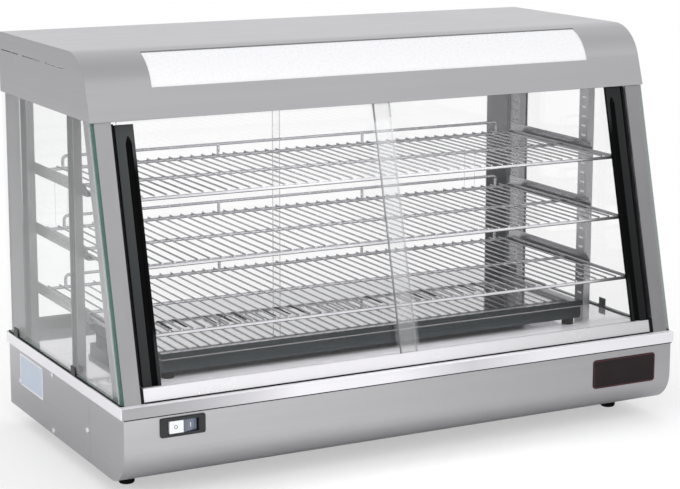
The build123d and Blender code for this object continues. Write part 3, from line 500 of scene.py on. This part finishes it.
def brightWire(name, look, draw):
    material, sheet = finish(name)
    spots = sheet.grain(*draw["spots"])
    dull, bright = (tone(look["level"] * share, steelTint) for share in draw["spotLevels"])
    base = sheet.mixed(spots, dull, bright)
    # painted highlight on front faces, painted shade at their right end and underneath
    ending = sheet.axis("X").rise(*draw["rightEnd"])
    front = sheet.mixed(ending, tone(look["front"], steelTint), tone(look["endShade"], steelTint))
    base = sheet.mixed(sheet.facing("Y").rise(*draw["forward"]), base, front)
    base = sheet.mixed(sheet.facing("Z").rise(*draw["below"]), base, tone(look["underShade"], steelTint))
    rough = sheet.grain(*draw["fine"]).swing(draw["haze"]) + look["rough"]
    sheet.coated({"Base Color": base, "Metallic": look["metal"], "Roughness": rough.clipped(),
                  "Normal": sheet.bump(*draw["bump"], spots)})
    return material


for wireName, wireLook in wires.items():
    finishes[wireName] = brightWire(wireName, wireLook, drawing)

# heating elements: sheathed tube, stained by the heat
elementLook = {"cool": (0.20, 0.19, 0.18, 1), "straw": (0.27, 0.20, 0.13, 1), "stain": (14, 4),
               "fine": (90, 3), "fineRough": 0.2, "rough": 0.35, "metal": 0.85, "bump": (0.12, 0.0003)}


def elementTube(look):
    material, sheet = finish("elementTube")
    stain = sheet.grain(*look["stain"])
    base = sheet.mixed(stain, look["cool"], look["straw"])
    rough = sheet.grain(*look["fine"]) * look["fineRough"] + look["rough"]
    sheet.coated({"Base Color": base, "Metallic": look["metal"], "Roughness": rough,
                  "Normal": sheet.bump(*look["bump"], stain)})
    return material


finishes["elementTube"] = elementTube(elementLook)
print("metals made")

# panes: clear faces that mirror at a slant, green or grey where the cut edge shows
lean = radians(14)
leanOut = Vector((0, -cos(lean), sin(lean)))
panes = {
    # normal of the clear faces, colours and cover of the cut edge; the far side pane and the right front door
    # have greyer, darker edges than their twins, painted shade
    "sidePane": {"normal": (1, 0, 0), "edge": (0.050, 0.150, 0.120, 1), "deep": (0.018, 0.065, 0.054, 1),
                 "cut": 0.85, "arris": "side_glass_left"},
    "farPane": {"normal": (1, 0, 0), "edge": (0.15, 0.19, 0.18, 1), "deep": (0.08, 0.11, 0.105, 1),
                "cut": 0.85},
    "frontPaneLeft": {"normal": leanOut, "edge": (0.36, 0.38, 0.40, 1), "deep": (0.26, 0.28, 0.29, 1),
                      "cut": 0.50, "door": "left"},
    "frontPaneRight": {"normal": leanOut, "edge": (0.21, 0.22, 0.23, 1), "deep": (0.15, 0.16, 0.17, 1),
                       "cut": 0.80, "door": "right"},
    "rearPane": {"normal": (0, 1, 0), "edge": (0.46, 0.50, 0.50, 1), "deep": (0.32, 0.37, 0.37, 1),
                 "cut": 0.5},
}
paneGloss = {
    "index": 1.5, "least": 0.026, "slant": 0.5, "power": 5.0, "film": 0.012, "face": (0.97, 0.985, 0.985, 1),
    "smear": ((3, 3, 9), 4, 0.6), "smearRough": 0.03, "edgeBelow": 0.6, "edgeRough": 0.12,
    "ripple": ((60, 60, 4), 2),
    "jambLine": 0.2298,     # behind it the rear edge of a side pane is covered
}
# where the closed front doors overlap, painted whiter and more opaque as a painted reflection of the doubled
# glass, and a line down the inner edge of each
doorOverlapSheen = {"share": 0.095, "colour": (0.98, 0.98, 1.0, 1), "dull": 0.10, "line": 0.0011}
# the ground corner beside the leaning edge of the left side pane: green next to the front, then a pale band
# painted as a highlight
paneArris = {"pale": 0.0068, "green": 0.0040, "colour": (0.66, 0.78, 0.74, 1), "cover": 0.55}


def leanFront(wearer, above=0.0):
    # how far a solid reaches out along the leaning front
    return max(leanOut.dot(point.co) for point in nodes[wearer].data.vertices if point.co.z > above)


def leanDepth(sheet, front):
    # depth behind that reach
    return front - sheet.along(leanOut)


def paneGlass(name, look, gloss, haze, ground):
    material, sheet = finish(name)
    flat = sheet.along(look["normal"], "Normal")
    inJamb = sheet.axis("Y") > gloss["jambLine"]
    edge = (abs(flat) < gloss["edgeBelow"]) * (1 - inJamb)
    overlap = 0     # on all but the front doors
    if "door" in look:
        across = sheet.axis("X")
        inner = {"left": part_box("front_door_left")[1].x, "right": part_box("front_door_right")[0].x}
        edge = (edge + (abs(across - inner[look["door"]]) < haze["line"])).clipped()
        overlap = (across > inner["right"]) * (across < inner["left"])
    slant = sheet.node("ShaderNodeLayerWeight", {}, {"Blend": gloss["slant"]}, "Facing")
    mirror = slant.work("POWER", slant, gloss["power"]) * (1 - gloss["least"]) + gloss["least"]
    smear = sheet.grain(*gloss["smear"])
    cut = sheet.mixed(sheet.grain(*gloss["ripple"]), look["edge"], look["deep"])
    # painted reflection: whiter and more opaque where the front doors overlap
    base = sheet.mixed(edge, sheet.mixed(overlap, gloss["face"], haze["colour"]), cut)
    alpha = (mirror + smear * gloss["film"] + overlap * haze["share"]) * (1 - edge) + edge * look["cut"]
    metal = (1 - edge) * (1 - overlap * haze["dull"])
    if "arris" in look:
        depth = leanDepth(sheet, leanFront(look["arris"]))
        # painted highlight: the pale band behind the green of the ground corner
        arris = (depth < ground["pale"]) * (1 - edge)
        base = sheet.mixed(arris, base, sheet.mixed(depth < ground["green"], ground["colour"], cut))
        alpha = alpha * (1 - arris) + arris * ground["cover"]
        metal = metal * (1 - arris)
    rough = smear * gloss["smearRough"] + edge * gloss["edgeRough"]
    sheet.coated({"Base Color": base, "Metallic": metal, "Roughness": rough, "Alpha": alpha.clipped(),
                  "IOR": gloss["index"]})
    return material


for paneName, paneLook in panes.items():
    finishes[paneName] = paneGlass(paneName, paneLook, paneGloss, doorOverlapSheen, paneArris)
print("panes made")

# plastics and rubber
plastics = {
    # colour, roughness, size of the mould texture, its depth
    "clipBlack": {"colour": (0.016, 0.018, 0.018), "rough": 0.40, "cells": 700, "bump": 0.10},
    "bezelBlack": {"colour": (0.020, 0.022, 0.023), "rough": 0.38, "cells": 900, "bump": 0.12},
    "rubberBlack": {"colour": (0.008, 0.008, 0.008), "rough": 0.66, "cells": 500, "bump": 0.20,
                    "shine": 0.12},
    "holderWhite": {"colour": (0.78, 0.77, 0.74), "rough": 0.42, "cells": 600, "bump": 0.06},
    "blockWhite": {"colour": (0.74, 0.73, 0.69), "rough": 0.40, "cells": 600, "bump": 0.06},
    "ballastEnamel": {"colour": (0.72, 0.72, 0.70), "rough": 0.30, "cells": 120, "bump": 0.08},
    # on the pieces made here
    "trimRed": {"colour": (0.085, 0.014, 0.017), "rough": 0.34, "cells": 300, "bump": 0.05},
    "markBlack": {"colour": (0.020, 0.020, 0.022), "rough": 0.45, "cells": 600, "bump": 0.05},
    "markWhite": {"colour": (0.78, 0.78, 0.76), "rough": 0.45, "cells": 600, "bump": 0.05},
}
moulding = {"cellDetail": 2, "cloud": (12, 3), "levels": (0.85, 1.2), "haze": 0.12, "depth": 0.0002,
            "shine": 0.4}


def mouldedPlastic(name, look, mould):
    material, sheet = finish(name)
    cells = sheet.grain(look["cells"], mould["cellDetail"])
    cloud = sheet.grain(*mould["cloud"])
    deep, pale = (tone(share, look["colour"]) for share in mould["levels"])
    rough = cells.swing(mould["haze"]) + cloud.swing(mould["haze"]) + look["rough"]
    sheet.coated({"Base Color": sheet.mixed(cloud, deep, pale), "Roughness": rough.clipped(),
                  "Normal": sheet.bump(look["bump"], mould["depth"], cells),
                  "Specular IOR Level": look.get("shine", mould["shine"])})
    return material


for plasticName, plasticLook in plastics.items():
    finishes[plasticName] = mouldedPlastic(plasticName, plasticLook, moulding)

# door pulls: satin black, darker towards the foot, with a finger groove sunk below the face and a lip beside
# it, both painted dead black as shade; the right pull's face is painted darker, a painted shade
pullLook = {
    "face": (0.054, 0.059, 0.060), "worn": (0.070, 0.076, 0.077), "wornShare": 0.5,
    "wear": ((40, 40, 6), 4, 0.6),
    # the right pull keeps a lower level, painted shade
    "level": {"left": 1.0, "right": 0.36}, "fall": 0.60, "fallRun": (0.48, 0.15),
    "groove": (0.001, 0.001, 0.001, 1), "sunk": 0.0006, "grooveRough": 0.4,
    "lip": 0.006, "lipShadeFoot": (0.205, 0.230), "lipShadeHead": (0.460, 0.435),
    "rough": 0.40, "cells": (700, 2), "haze": 0.10, "bump": (0.08, 0.0002), "specular": 0.12,
}


def pullPlastic(name, side, look):
    material, sheet = finish(name)
    height = sheet.axis("Z")
    # painted shade: the sunk groove and the lip beside it are painted dead black
    sunk = leanDepth(sheet, leanFront("front_pull_" + side)) > look["sunk"]
    glassSide = min(abs(corner.x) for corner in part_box("front_pull_" + side))
    lip = abs(sheet.axis("X")) < glassSide + look["lip"]
    lip = lip * height.rise(*look["lipShadeFoot"]) * height.rise(*look["lipShadeHead"])
    dark = (sunk + lip).clipped()
    cells = sheet.grain(*look["cells"])
    level = look["level"][side]
    worn = sheet.grain(*look["wear"]) * look["wornShare"]
    face = sheet.mixed(worn, tone(level, look["face"]), tone(level, look["worn"]))
    face = sheet.mixed(height.rise(*look["fallRun"]) * look["fall"], face, look["groove"])
    base = sheet.mixed(dark, face, look["groove"])
    rough = cells.swing(look["haze"]) + look["rough"] + dark * look["grooveRough"]
    sheet.coated({"Base Color": base, "Roughness": rough.clipped(),
                  "Normal": sheet.bump(*look["bump"], cells), "Specular IOR Level": look["specular"]})
    return material


for pullSide in ("left", "right"):
    finishes["pull_" + pullSide] = pullPlastic("pull_" + pullSide, pullSide, pullLook)

# rocker: white on the left of its pivot, smoky grey on the right, painted darker next to the pivot as shade
rockerLook = {"middle": -0.3615, "white": (0.83, 0.85, 0.87, 1), "smoke": (0.20, 0.24, 0.31, 1),
              "deep": (0.09, 0.11, 0.15, 1), "shade": 0.02, "fine": (300, 2), "fineRough": 0.10,
              "rough": 0.08, "coat": 0.6, "coatRough": 0.05}


def rockerPlastic(look):
    material, sheet = finish("rockerPlastic")
    x, middle = sheet.axis("X"), look["middle"]
    smoke = sheet.mixed(x.rise(middle, middle + look["shade"]), look["deep"], look["smoke"])
    base = sheet.mixed(x > middle, look["white"], smoke)
    rough = sheet.grain(*look["fine"]) * look["fineRough"] + look["rough"]
    sheet.coated({"Base Color": base, "Roughness": rough, "Coat Weight": look["coat"],
                  "Coat Roughness": look["coatRough"]})
    return material


finishes["rockerPlastic"] = rockerPlastic(rockerLook)

# lit window: the tube shows as a brighter band across the opal sheet
windowLook = {"opal": (0.62, 0.62, 0.64, 1), "bright": (1.0, 1.0, 1.0, 1), "dim": (0.80, 0.80, 0.84, 1),
              "bandHeight": 0.552, "bandReach": 0.033333, "glow": 0.22, "frost": (220, 2), "frostShare": 0.05,
              "frostRough": 0.12, "rough": 0.22}


def opalWindow(look):
    material, sheet = finish("opalWindow")
    band = abs(sheet.axis("Z") - look["bandHeight"]).rise(look["bandReach"], 0)
    frost = sheet.grain(*look["frost"])
    lit = sheet.mixed(band, look["dim"], look["bright"])
    base = sheet.mixed(frost * look["frostShare"], look["opal"], look["dim"])
    rough = frost * look["frostRough"] + look["rough"]
    sheet.coated({"Base Color": base, "Roughness": rough, "Emission Color": lit,
                  "Emission Strength": look["glow"]})
    return material


finishes["opalWindow"] = opalWindow(windowLook)

# lamp tube: phosphor white, with grey metal caps
tubeLook = {"capFrom": 0.285, "glow": 4.0, "white": (0.92, 0.92, 0.93, 1), "dusty": (0.8, 0.8, 0.82, 1),
            "cap": (0.55, 0.55, 0.57, 1), "capMetal": 0.9, "dust": (80, 3), "dustShare": 0.2,
            "dustRough": 0.1, "rough": 0.15}


def lampTube(look):
    material, sheet = finish("lampTube")
    cap = abs(sheet.axis("X")) > look["capFrom"]
    dust = sheet.grain(*look["dust"])
    glass = sheet.mixed(dust * look["dustShare"], look["white"], look["dusty"])
    rough = dust * look["dustRough"] + look["rough"]
    sheet.coated({"Base Color": sheet.mixed(cap, glass, look["cap"]), "Roughness": rough,
                  "Metallic": cap * look["capMetal"], "Emission Color": sheet.dimmed(cap, tone(1.0)),
                  "Emission Strength": look["glow"]})
    return material


finishes["lampTube"] = lampTube(tubeLook)

# badge plate: bare black enamel under lacquer
plateLook = {"black": (0.010, 0.009, 0.010, 1), "warm": (0.022, 0.014, 0.015, 1), "cloud": (25, 4),
             "rough": 0.34, "haze": 0.1, "peel": (260, 2), "bump": (0.04, 0.0002), "specular": 0.18}


def plateEnamel(look):
    material, sheet = finish("plateEnamel")
    cloud = sheet.grain(*look["cloud"])
    peel = sheet.grain(*look["peel"])
    sheet.coated({"Base Color": sheet.mixed(cloud, look["black"], look["warm"]),
                  "Roughness": cloud.swing(look["haze"]) + look["rough"],
                  "Normal": sheet.bump(*look["bump"], peel), "Specular IOR Level": look["specular"]})
    return material


finishes["plateEnamel"] = plateEnamel(plateLook)
print("plastics, window and plate made")

# which solid wears which finish
dressing = {
    "canopySteel": ("canopy_hood", "canopy_end_left", "canopy_end_right"),
    "baseSteel": ("front_apron", "side_panel_left", "side_panel_right", "rear_panel", "floor_plate"),
    "postSteel": ("front_post_left", "front_post_right"),
    "jambSteel": ("rear_jamb_left", "rear_jamb_right"),
    "midUpright": ("mid_upright_left", "mid_upright_right"),
    "rearUpright": ("rear_upright_left", "rear_upright_right"),
    "bracketSteel": ("brackets_left", "brackets_right"),
    "deckSheet": ("deck",),
    "heaterSheet": ("heater_tray", "heater_cover"),
    "trackAluminium": ("front_track_lower", "front_track_upper"),
    "shadedRearTrackSteel": ("rear_track_lower", "rear_track_upper"),
    "innerSteel": ("ceiling",),
    "screwNickel": ("panel_screws",),
    "elementTube": ("element_left", "element_right"),
    "rackWire": ("rack_top", "rack_middle", "rack_bottom"),
    "guardWire": ("guard_top", "guard_middle", "guard_bottom"),
    "sidePane": ("side_glass_left",),
    "farPane": ("side_glass_right",),
    "frontPaneLeft": ("front_door_left",),
    "frontPaneRight": ("front_door_right",),
    "rearPane": ("rear_door_left", "rear_door_right"),
    "pull_left": ("front_pull_left",),
    "pull_right": ("front_pull_right",),
    "clipBlack": ("thermostat_knob", "glass_clips"),
    "bezelBlack": ("switch_bezel", "thermostat", "cord_gland"),
    "rubberBlack": ("feet", "heater_feet", "post_seal_left", "post_seal_right"),
    "holderWhite": ("lamp_holders",),
    "blockWhite": ("terminal_block",),
    "ballastEnamel": ("ballast",),
    "rockerPlastic": ("switch_rocker",),
    "opalWindow": ("lamp_diffuser",),
    "lampTube": ("lamp_tube",),
    "plateEnamel": ("badge_plate",),
}
for finishName, wearers in dressing.items():
    for wearer in wearers:
        slots = nodes[wearer].data.materials
        slots.clear()
        slots.append(finishes[finishName])
bare = sorted(set(nodes) - {wearer for wearers in dressing.values() for wearer in wearers})
print("solids dressed, left bare:", bare)

# pieces that the solids leave out: seals, trim, label, dial and small screws
making = {"weld": 1e-6, "cornerSteps": 5, "edgeSteps": 2, "sharpFrom": 1.0}


def addPiece(name, form, finishName, body="case"):
    bmesh.ops.remove_doubles(form, verts=form.verts, dist=making["weld"])
    bmesh.ops.recalc_face_normals(form, faces=form.faces)
    mesh = bpy.data.meshes.new(name)
    form.to_mesh(mesh)
    form.free()
    mesh.materials.append(finishes[finishName])
    piece = bpy.data.objects.new(name, mesh)
    stageScene.collection.objects.link(piece)
    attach(piece, body)


def pushed(form, faces, step):
    # draws the faces out by the step and gives back the new corners
    made = bmesh.ops.extrude_face_region(form, geom=list(faces))["geom"]
    corners = [item for item in made if isinstance(item, bmesh.types.BMVert)]
    bmesh.ops.translate(form, vec=step, verts=corners)
    return corners


def roundedFace(form, width, height, corner):
    # a flat face with round corners, in X and Y about the origin; gives back its corners
    made = bmesh.ops.create_grid(form, x_segments=1, y_segments=1, size=0.5)["verts"]
    bmesh.ops.scale(form, vec=(width, height, 1), verts=made)
    return bmesh.ops.bevel(form, geom=made, offset=corner, affect="VERTICES", segments=making["cornerSteps"],
                           profile=0.5, material=-1)["verts"]


def softened(form, offset):
    sharp = [edge for edge in form.edges
             if len(edge.link_faces) == 2 and edge.calc_face_angle(0) > making["sharpFrom"]]
    bmesh.ops.bevel(form, geom=sharp, offset=offset, affect="EDGES", segments=making["edgeSteps"],
                    profile=0.5, material=-1)


def hollowed(form, band, thick):
    # leaves a band along the outline of a flat face and makes it thick
    inner = list(form.faces)
    bmesh.ops.inset_region(form, faces=inner, thickness=band, use_boundary=True, use_even_offset=True)
    bmesh.ops.delete(form, geom=inner, context="FACES")
    pushed(form, form.faces, (0, 0, thick))


def frameRing(width, height, corner, band, thick):
    form = bmesh.new()
    roundedFace(form, width, height, corner)
    hollowed(form, band, thick)
    return form


def spun(form, corners, centre, steps, closed=False):
    # turns a line of corners once round, about Y
    pairs = zip(corners, corners[1:] + corners[:1]) if closed else zip(corners, corners[1:])
    line = [form.edges.new(pair) for pair in pairs]
    bmesh.ops.spin(form, geom=corners + line, cent=centre, axis=(0, 1, 0), angle=2 * pi, steps=steps,
                   use_merge=True)


def strip(low, high, edge):
    # a bar between two corners, its edges rounded over
    form = bmesh.new()
    bmesh.ops.create_cube(form, size=1.0)
    low, high = Vector(low), Vector(high)
    bmesh.ops.scale(form, vec=high - low, verts=form.verts)
    bmesh.ops.translate(form, vec=(low + high) / 2, verts=form.verts)
    softened(form, edge)
    return form


# turned faces: local X, Y and Z of a face in the frame
frontFace = Matrix(((1, 0, 0), (0, 0, -1), (0, 1, 0))).to_4x4()     # looks to the front
backFace = Matrix(((-1, 0, 0), (0, 0, 1), (0, 1, 0))).to_4x4()      # looks to the back
leftFace = Matrix(((0, 0, -1), (-1, 0, 0), (0, 1, 0))).to_4x4()     # looks to the left

# rubber under the side panes, between the clips, with a lip up the outside
paneSeal = {"base": 0.0018, "lip": 0.0021, "lipThick": 0.0007, "inside": 0.0004, "gap": 0.0005}


def addPaneSeal(side, look):
    paneLow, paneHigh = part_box("side_glass_" + side)
    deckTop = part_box("deck")[1].z
    outward = -1 if side == "left" else 1
    outer, inner = (paneLow.x, paneHigh.x) if side == "left" else (paneHigh.x, paneLow.x)
    clipEnds = sorted(point.co.y for point in nodes["glass_clips"].data.vertices)
    middle = (clipEnds[0] + clipEnds[-1]) / 2
    frontClip = [y for y in clipEnds if y < middle]
    backClip = [y for y in clipEnds if y > middle]
    runs = ((paneLow.y, frontClip[0]), (frontClip[-1], backClip[0]), (backClip[-1], paneHigh.y))
    lipOut, foot = outer + outward * look["lipThick"], inner + outward * look["inside"]
    outline = ((foot, 0), (lipOut, 0), (lipOut, look["lip"]), (outer, look["lip"]), (outer, look["base"]),
               (foot, look["base"]))
    form = bmesh.new()
    for start, stop in runs:
        corners = [form.verts.new((x, start + look["gap"], deckTop + rise)) for x, rise in outline]
        pushed(form, [form.faces.new(corners)], (0, stop - start - 2 * look["gap"], 0))
    addPiece("pane_seal_" + side, form, "rubberBlack")


for paneSide in ("left", "right"):
    addPaneSeal(paneSide, paneSeal)

# black rubber seals along the front, under the rim and at the foot of the door track, that paint the shadow
# lines there
frontShadowSeals = {"rimDrop": 0.0020, "rimReach": 0.0028, "trackRise": 0.0017, "trackReach": 0.0026,
              "round": 0.0005}


def addFrontShadowSeals(look):
    deckLow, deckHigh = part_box("deck")
    apronLow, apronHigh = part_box("front_apron")
    trackLow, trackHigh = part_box("front_track_lower")
    rimShadowSeal = strip((apronLow.x, apronLow.y - look["rimReach"], deckLow.z - look["rimDrop"]),
                    (apronHigh.x, apronLow.y, deckLow.z), look["round"])
    addPiece("rim_shadow_seal", rimShadowSeal, "rubberBlack")
    trackShadowSeal = strip((trackLow.x, trackLow.y - look["trackReach"], deckHigh.z),
                      (trackHigh.x, trackLow.y, deckHigh.z + look["trackRise"]), look["round"])
    addPiece("track_shadow_seal", trackShadowSeal, "rubberBlack")


addFrontShadowSeals(frontShadowSeals)

# soft lip on each post seal, that meets the closed door's pull
sealLip = {"thick": 0.002, "gap": 0.0008, "trackGap": 0.001, "overFoot": 0.02, "round": 0.0005}


def addSealLip(side, look):
    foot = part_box("front_track_lower")[1].z + look["trackGap"]
    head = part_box("front_track_upper")[0].z - look["trackGap"]
    sealLow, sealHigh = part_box("post_seal_" + side)
    pullLow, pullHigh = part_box("front_pull_" + side)
    if side == "left":
        start, stop = sealHigh.x, pullLow.x - look["gap"]
    else:
        start, stop = pullHigh.x + look["gap"], sealLow.x
    front = (foot * sin(lean) - leanFront("post_seal_" + side, foot + look["overFoot"])) / cos(lean)
    form = bmesh.new()
    corners = [form.verts.new((x, y, foot)) for x, y in (
        (start, front), (stop, front), (stop, front + look["thick"]), (start, front + look["thick"]))]
    pushed(form, [form.faces.new(corners)], Vector((0, sin(lean), cos(lean))) * (head - foot) / cos(lean))
    bmesh.ops.recalc_face_normals(form, faces=form.faces)
    softened(form, look["round"])
    addPiece("seal_lip_" + side, form, "rubberBlack")


for lipSide in ("left", "right"):
    addSealLip(lipSide, sealLip)

# bright hem round the skirt of the heater cover
coverHem = {"proud": 0.0009, "height": 0.0018, "corner": 0.003, "bite": 0.0004}


def addCoverHem(look):
    low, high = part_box("heater_cover")
    form = frameRing(high.x - low.x + 2 * look["proud"], high.y - low.y + 2 * look["proud"], look["corner"],
                     look["proud"] + look["bite"], look["height"])
    bmesh.ops.translate(form, vec=((low.x + high.x) / 2, (low.y + high.y) / 2, low.z), verts=form.verts)
    addPiece("cover_hem", form, "hemSteel")


addCoverHem(coverHem)

# folded edge of the hood over the lit window, dark so that it also paints the shade line along the window's
# top
windowHem = {"within": 0.36, "proud": 0.0011, "round": 0.0005, "height": 0.0022, "tuck": 0.0006,
             "gap": 0.0005, "level": 0.0001}


def addWindowHem(look):
    corners = [point.co for point in nodes["canopy_hood"].data.vertices if abs(point.co.x) < look["within"]]
    top = max(corner.z for corner in corners)
    across = [corner.y for corner in corners if corner.z > top - look["level"]]
    half = max(corner.x for corner in corners) - look["gap"]
    front, back = min(across), max(across)
    outline = ((back, top), (front, top), (front - look["proud"], top - look["round"]),
               (front - look["proud"], top - look["height"]), (back, top - look["tuck"]))
    form = bmesh.new()
    pushed(form, [form.faces.new([form.verts.new((-half, y, z)) for y, z in outline])], (2 * half, 0, 0))
    addPiece("window_hem_shade_line", form, "hemSteel")


addWindowHem(windowHem)

# thin red frame on the bare badge plate
badgeFrame = {"inset": 0.0010, "band": 0.0011, "thick": 0.0003, "corner": 0.0042}


def addBadgeFrame(look):
    low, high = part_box("badge_plate")
    form = frameRing(high.x - low.x - 2 * look["inset"], high.z - low.z - 2 * look["inset"], look["corner"],
                     look["band"], look["thick"])
    place = Matrix.Translation(((low.x + high.x) / 2, low.y, (low.z + high.z) / 2)) @ frontFace
    bmesh.ops.transform(form, matrix=place, verts=form.verts)
    addPiece("badge_frame", form, "trimRed")


addBadgeFrame(badgeFrame)

# plain sticker on the left side panel, pale blue inside a white margin
sideLabel = {"middle": (0.135, 0.0905), "width": 0.100, "height": 0.049, "corner": 0.002, "thick": 0.0002,
             "margin": 0.003, "blue": (0.50, 0.57, 0.69, 1), "pale": (0.58, 0.64, 0.74, 1),
             "white": (0.76, 0.78, 0.81, 1), "fibre": (900, 3), "cloud": (22, 4), "rough": 0.48,
             "haze": 0.14, "bump": (0.08, 0.0001)}


def labelPaper(look):
    material, sheet = finish("labelPaper")
    alongY = abs(sheet.axis("Y") - look["middle"][0]) < look["width"] / 2 - look["margin"]
    alongZ = abs(sheet.axis("Z") - look["middle"][1]) < look["height"] / 2 - look["margin"]
    fibre = sheet.grain(*look["fibre"])
    field = sheet.mixed(sheet.grain(*look["cloud"]), look["blue"], look["pale"])
    sheet.coated({"Base Color": sheet.mixed(alongY * alongZ, look["white"], field),
                  "Roughness": fibre.swing(look["haze"]) + look["rough"],
                  "Normal": sheet.bump(*look["bump"], fibre)})
    return material


def addSideLabel(look):
    form = bmesh.new()
    roundedFace(form, look["width"], look["height"], look["corner"])
    pushed(form, form.faces, (0, 0, look["thick"]))
    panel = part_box("side_panel_left")[0].x
    place = Matrix.Translation((panel, look["middle"][0], look["middle"][1])) @ leftFace
    bmesh.ops.transform(form, matrix=place, verts=form.verts)
    addPiece("side_label", form, "labelPaper")


finishes["labelPaper"] = labelPaper(sideLabel)
addSideLabel(sideLabel)
print("seals, hem, badge frame and label made")

# thermostat dial: a black ring with white marks round the knob, and a pointer that turns with it
dial = {"axis": (0.250, 0.082), "inner": 0.0180, "outer": 0.0250, "thick": 0.0006, "steps": 48, "sweep": 270,
        "marks": 10, "markLength": 0.0032, "markWidth": 0.0009, "markThick": 0.0002, "markRound": 0.3,
        "markInset": 0.6, "endMarks": 1.25, "start": 135, "pointerFoot": 0.0015, "pointerLength": 0.0090,
        "pointerWidth": 0.0016, "pointerRise": 0.0003, "pointerRound": 0.4}


def addDial(look):
    x, z = look["axis"]
    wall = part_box("rear_panel")[1].y
    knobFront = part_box("thermostat_knob")[1].y
    centre = Vector((x, 0, z))

    ring = bmesh.new()
    corners = [ring.verts.new((x + reach, wall + rise, z)) for reach, rise in (
        (look["inner"], 0), (look["outer"], 0), (look["outer"] - look["thick"], look["thick"]),
        (look["inner"], look["thick"]))]
    spun(ring, corners, centre, look["steps"], True)
    addPiece("dial_ring", ring, "markBlack")

    marks = bmesh.new()
    reach = look["outer"] - look["thick"] - look["markLength"] * look["markInset"]
    for step in range(look["marks"]):
        turn = radians(look["start"] - look["sweep"] * step / (look["marks"] - 1))
        wide = look["endMarks"] if step in (0, look["marks"] - 1) else 1.0
        made = roundedFace(marks, look["markWidth"] * wide, look["markLength"],
                           look["markWidth"] * look["markRound"])
        flat = [face for face in marks.faces if face.verts[0] in made]
        made += pushed(marks, flat, (0, 0, look["markThick"]))
        place = Matrix.Translation(centre) @ Matrix.Rotation(turn, 4, "Y")
        place = place @ Matrix.Translation((0, wall + look["thick"], reach)) @ backFace
        bmesh.ops.transform(marks, matrix=place, verts=made)
    addPiece("dial_marks", marks, "markWhite")

    half, foot, rise = look["pointerWidth"] / 2, look["pointerFoot"], look["pointerRise"]
    pointer = strip((-half, knobFront, foot), (half, knobFront + rise, foot + look["pointerLength"]),
                    rise * look["pointerRound"])
    bmesh.ops.rotate(pointer, cent=(0, 0, 0), matrix=Matrix.Rotation(radians(look["start"]), 3, "Y"),
                     verts=pointer.verts)
    bmesh.ops.translate(pointer, vec=centre, verts=pointer.verts)
    addPiece("knob_pointer", pointer, "markWhite", "knob")


addDial(dial)

# button head screws with a round socket, along the rear panel and the back of the hood
buttonHead = {"radius": 0.0034, "rise": 0.0018, "shoulder": 0.00081, "crown": 0.0019, "socket": 0.0013,
              "socketDepth": 0.0008, "steps": 20}
backScrews = {"panelX": (-0.425, -0.14, 0.14, 0.425), "panelRise": 0.012,
              "hoodX": (-0.36, -0.12, 0.12, 0.36), "hoodDrop": 0.030}


def addBackScrews(look, head):
    panelLow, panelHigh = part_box("rear_panel")
    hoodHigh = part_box("canopy_hood")[1]
    places = [Vector((x, panelHigh.y, panelLow.z + look["panelRise"])) for x in look["panelX"]]
    places += [Vector((x, hoodHigh.y, hoodHigh.z - look["hoodDrop"])) for x in look["hoodX"]]
    floor = head["rise"] - head["socketDepth"]
    outline = ((head["radius"], 0), (head["radius"], head["shoulder"]), (head["crown"], head["rise"]),
               (head["socket"], head["rise"]), (head["socket"], floor), (0, floor))
    form = bmesh.new()
    for place in places:
        spun(form, [form.verts.new(place + Vector((reach, rise, 0))) for reach, rise in outline], place,
             head["steps"])
    addPiece("back_screws", form, "screwNickel")


addBackScrews(backScrews, buttonHead)

# plain on and off marks on the two halves of the rocker
rockerMarks = {"onX": -0.3500, "offX": -0.3725, "height": 0.0062, "width": 0.0012, "round": 0.00036,
               "ring": 0.0026, "band": 0.0008, "thick": 0.00015, "steps": 24, "rayStart": 1.0}


def addRockerMarks(look):
    rocker = nodes["switch_rocker"]
    low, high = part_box("switch_rocker")
    middle = (low.z + high.z) / 2

    def placeOn(form, x):
        # moves a mark that was made flat in X and Y onto the rocker's sloping face
        start = Vector((x, low.y - look["rayStart"], middle))
        spot, normal = rocker.ray_cast(start, Vector((0, 1, 0)))[1:3]
        across = Vector((0, 0, 1)).cross(normal).normalized()
        turn = Matrix((across, normal.cross(across), normal)).transposed().to_4x4()
        bmesh.ops.transform(form, matrix=Matrix.Translation(spot) @ turn, verts=form.verts)

    onMark = bmesh.new()
    roundedFace(onMark, look["width"], look["height"], look["round"])
    pushed(onMark, onMark.faces, (0, 0, look["thick"]))
    placeOn(onMark, look["onX"])
    addPiece("rocker_on", onMark, "markWhite", "rocker")

    offMark = bmesh.new()
    bmesh.ops.create_circle(offMark, cap_ends=True, segments=look["steps"], radius=look["ring"])
    hollowed(offMark, look["band"], look["thick"])
    placeOn(offMark, look["offX"])
    addPiece("rocker_off", offMark, "markBlack", "rocker")


addRockerMarks(rockerMarks)
print("dial, screws and switch marks made")
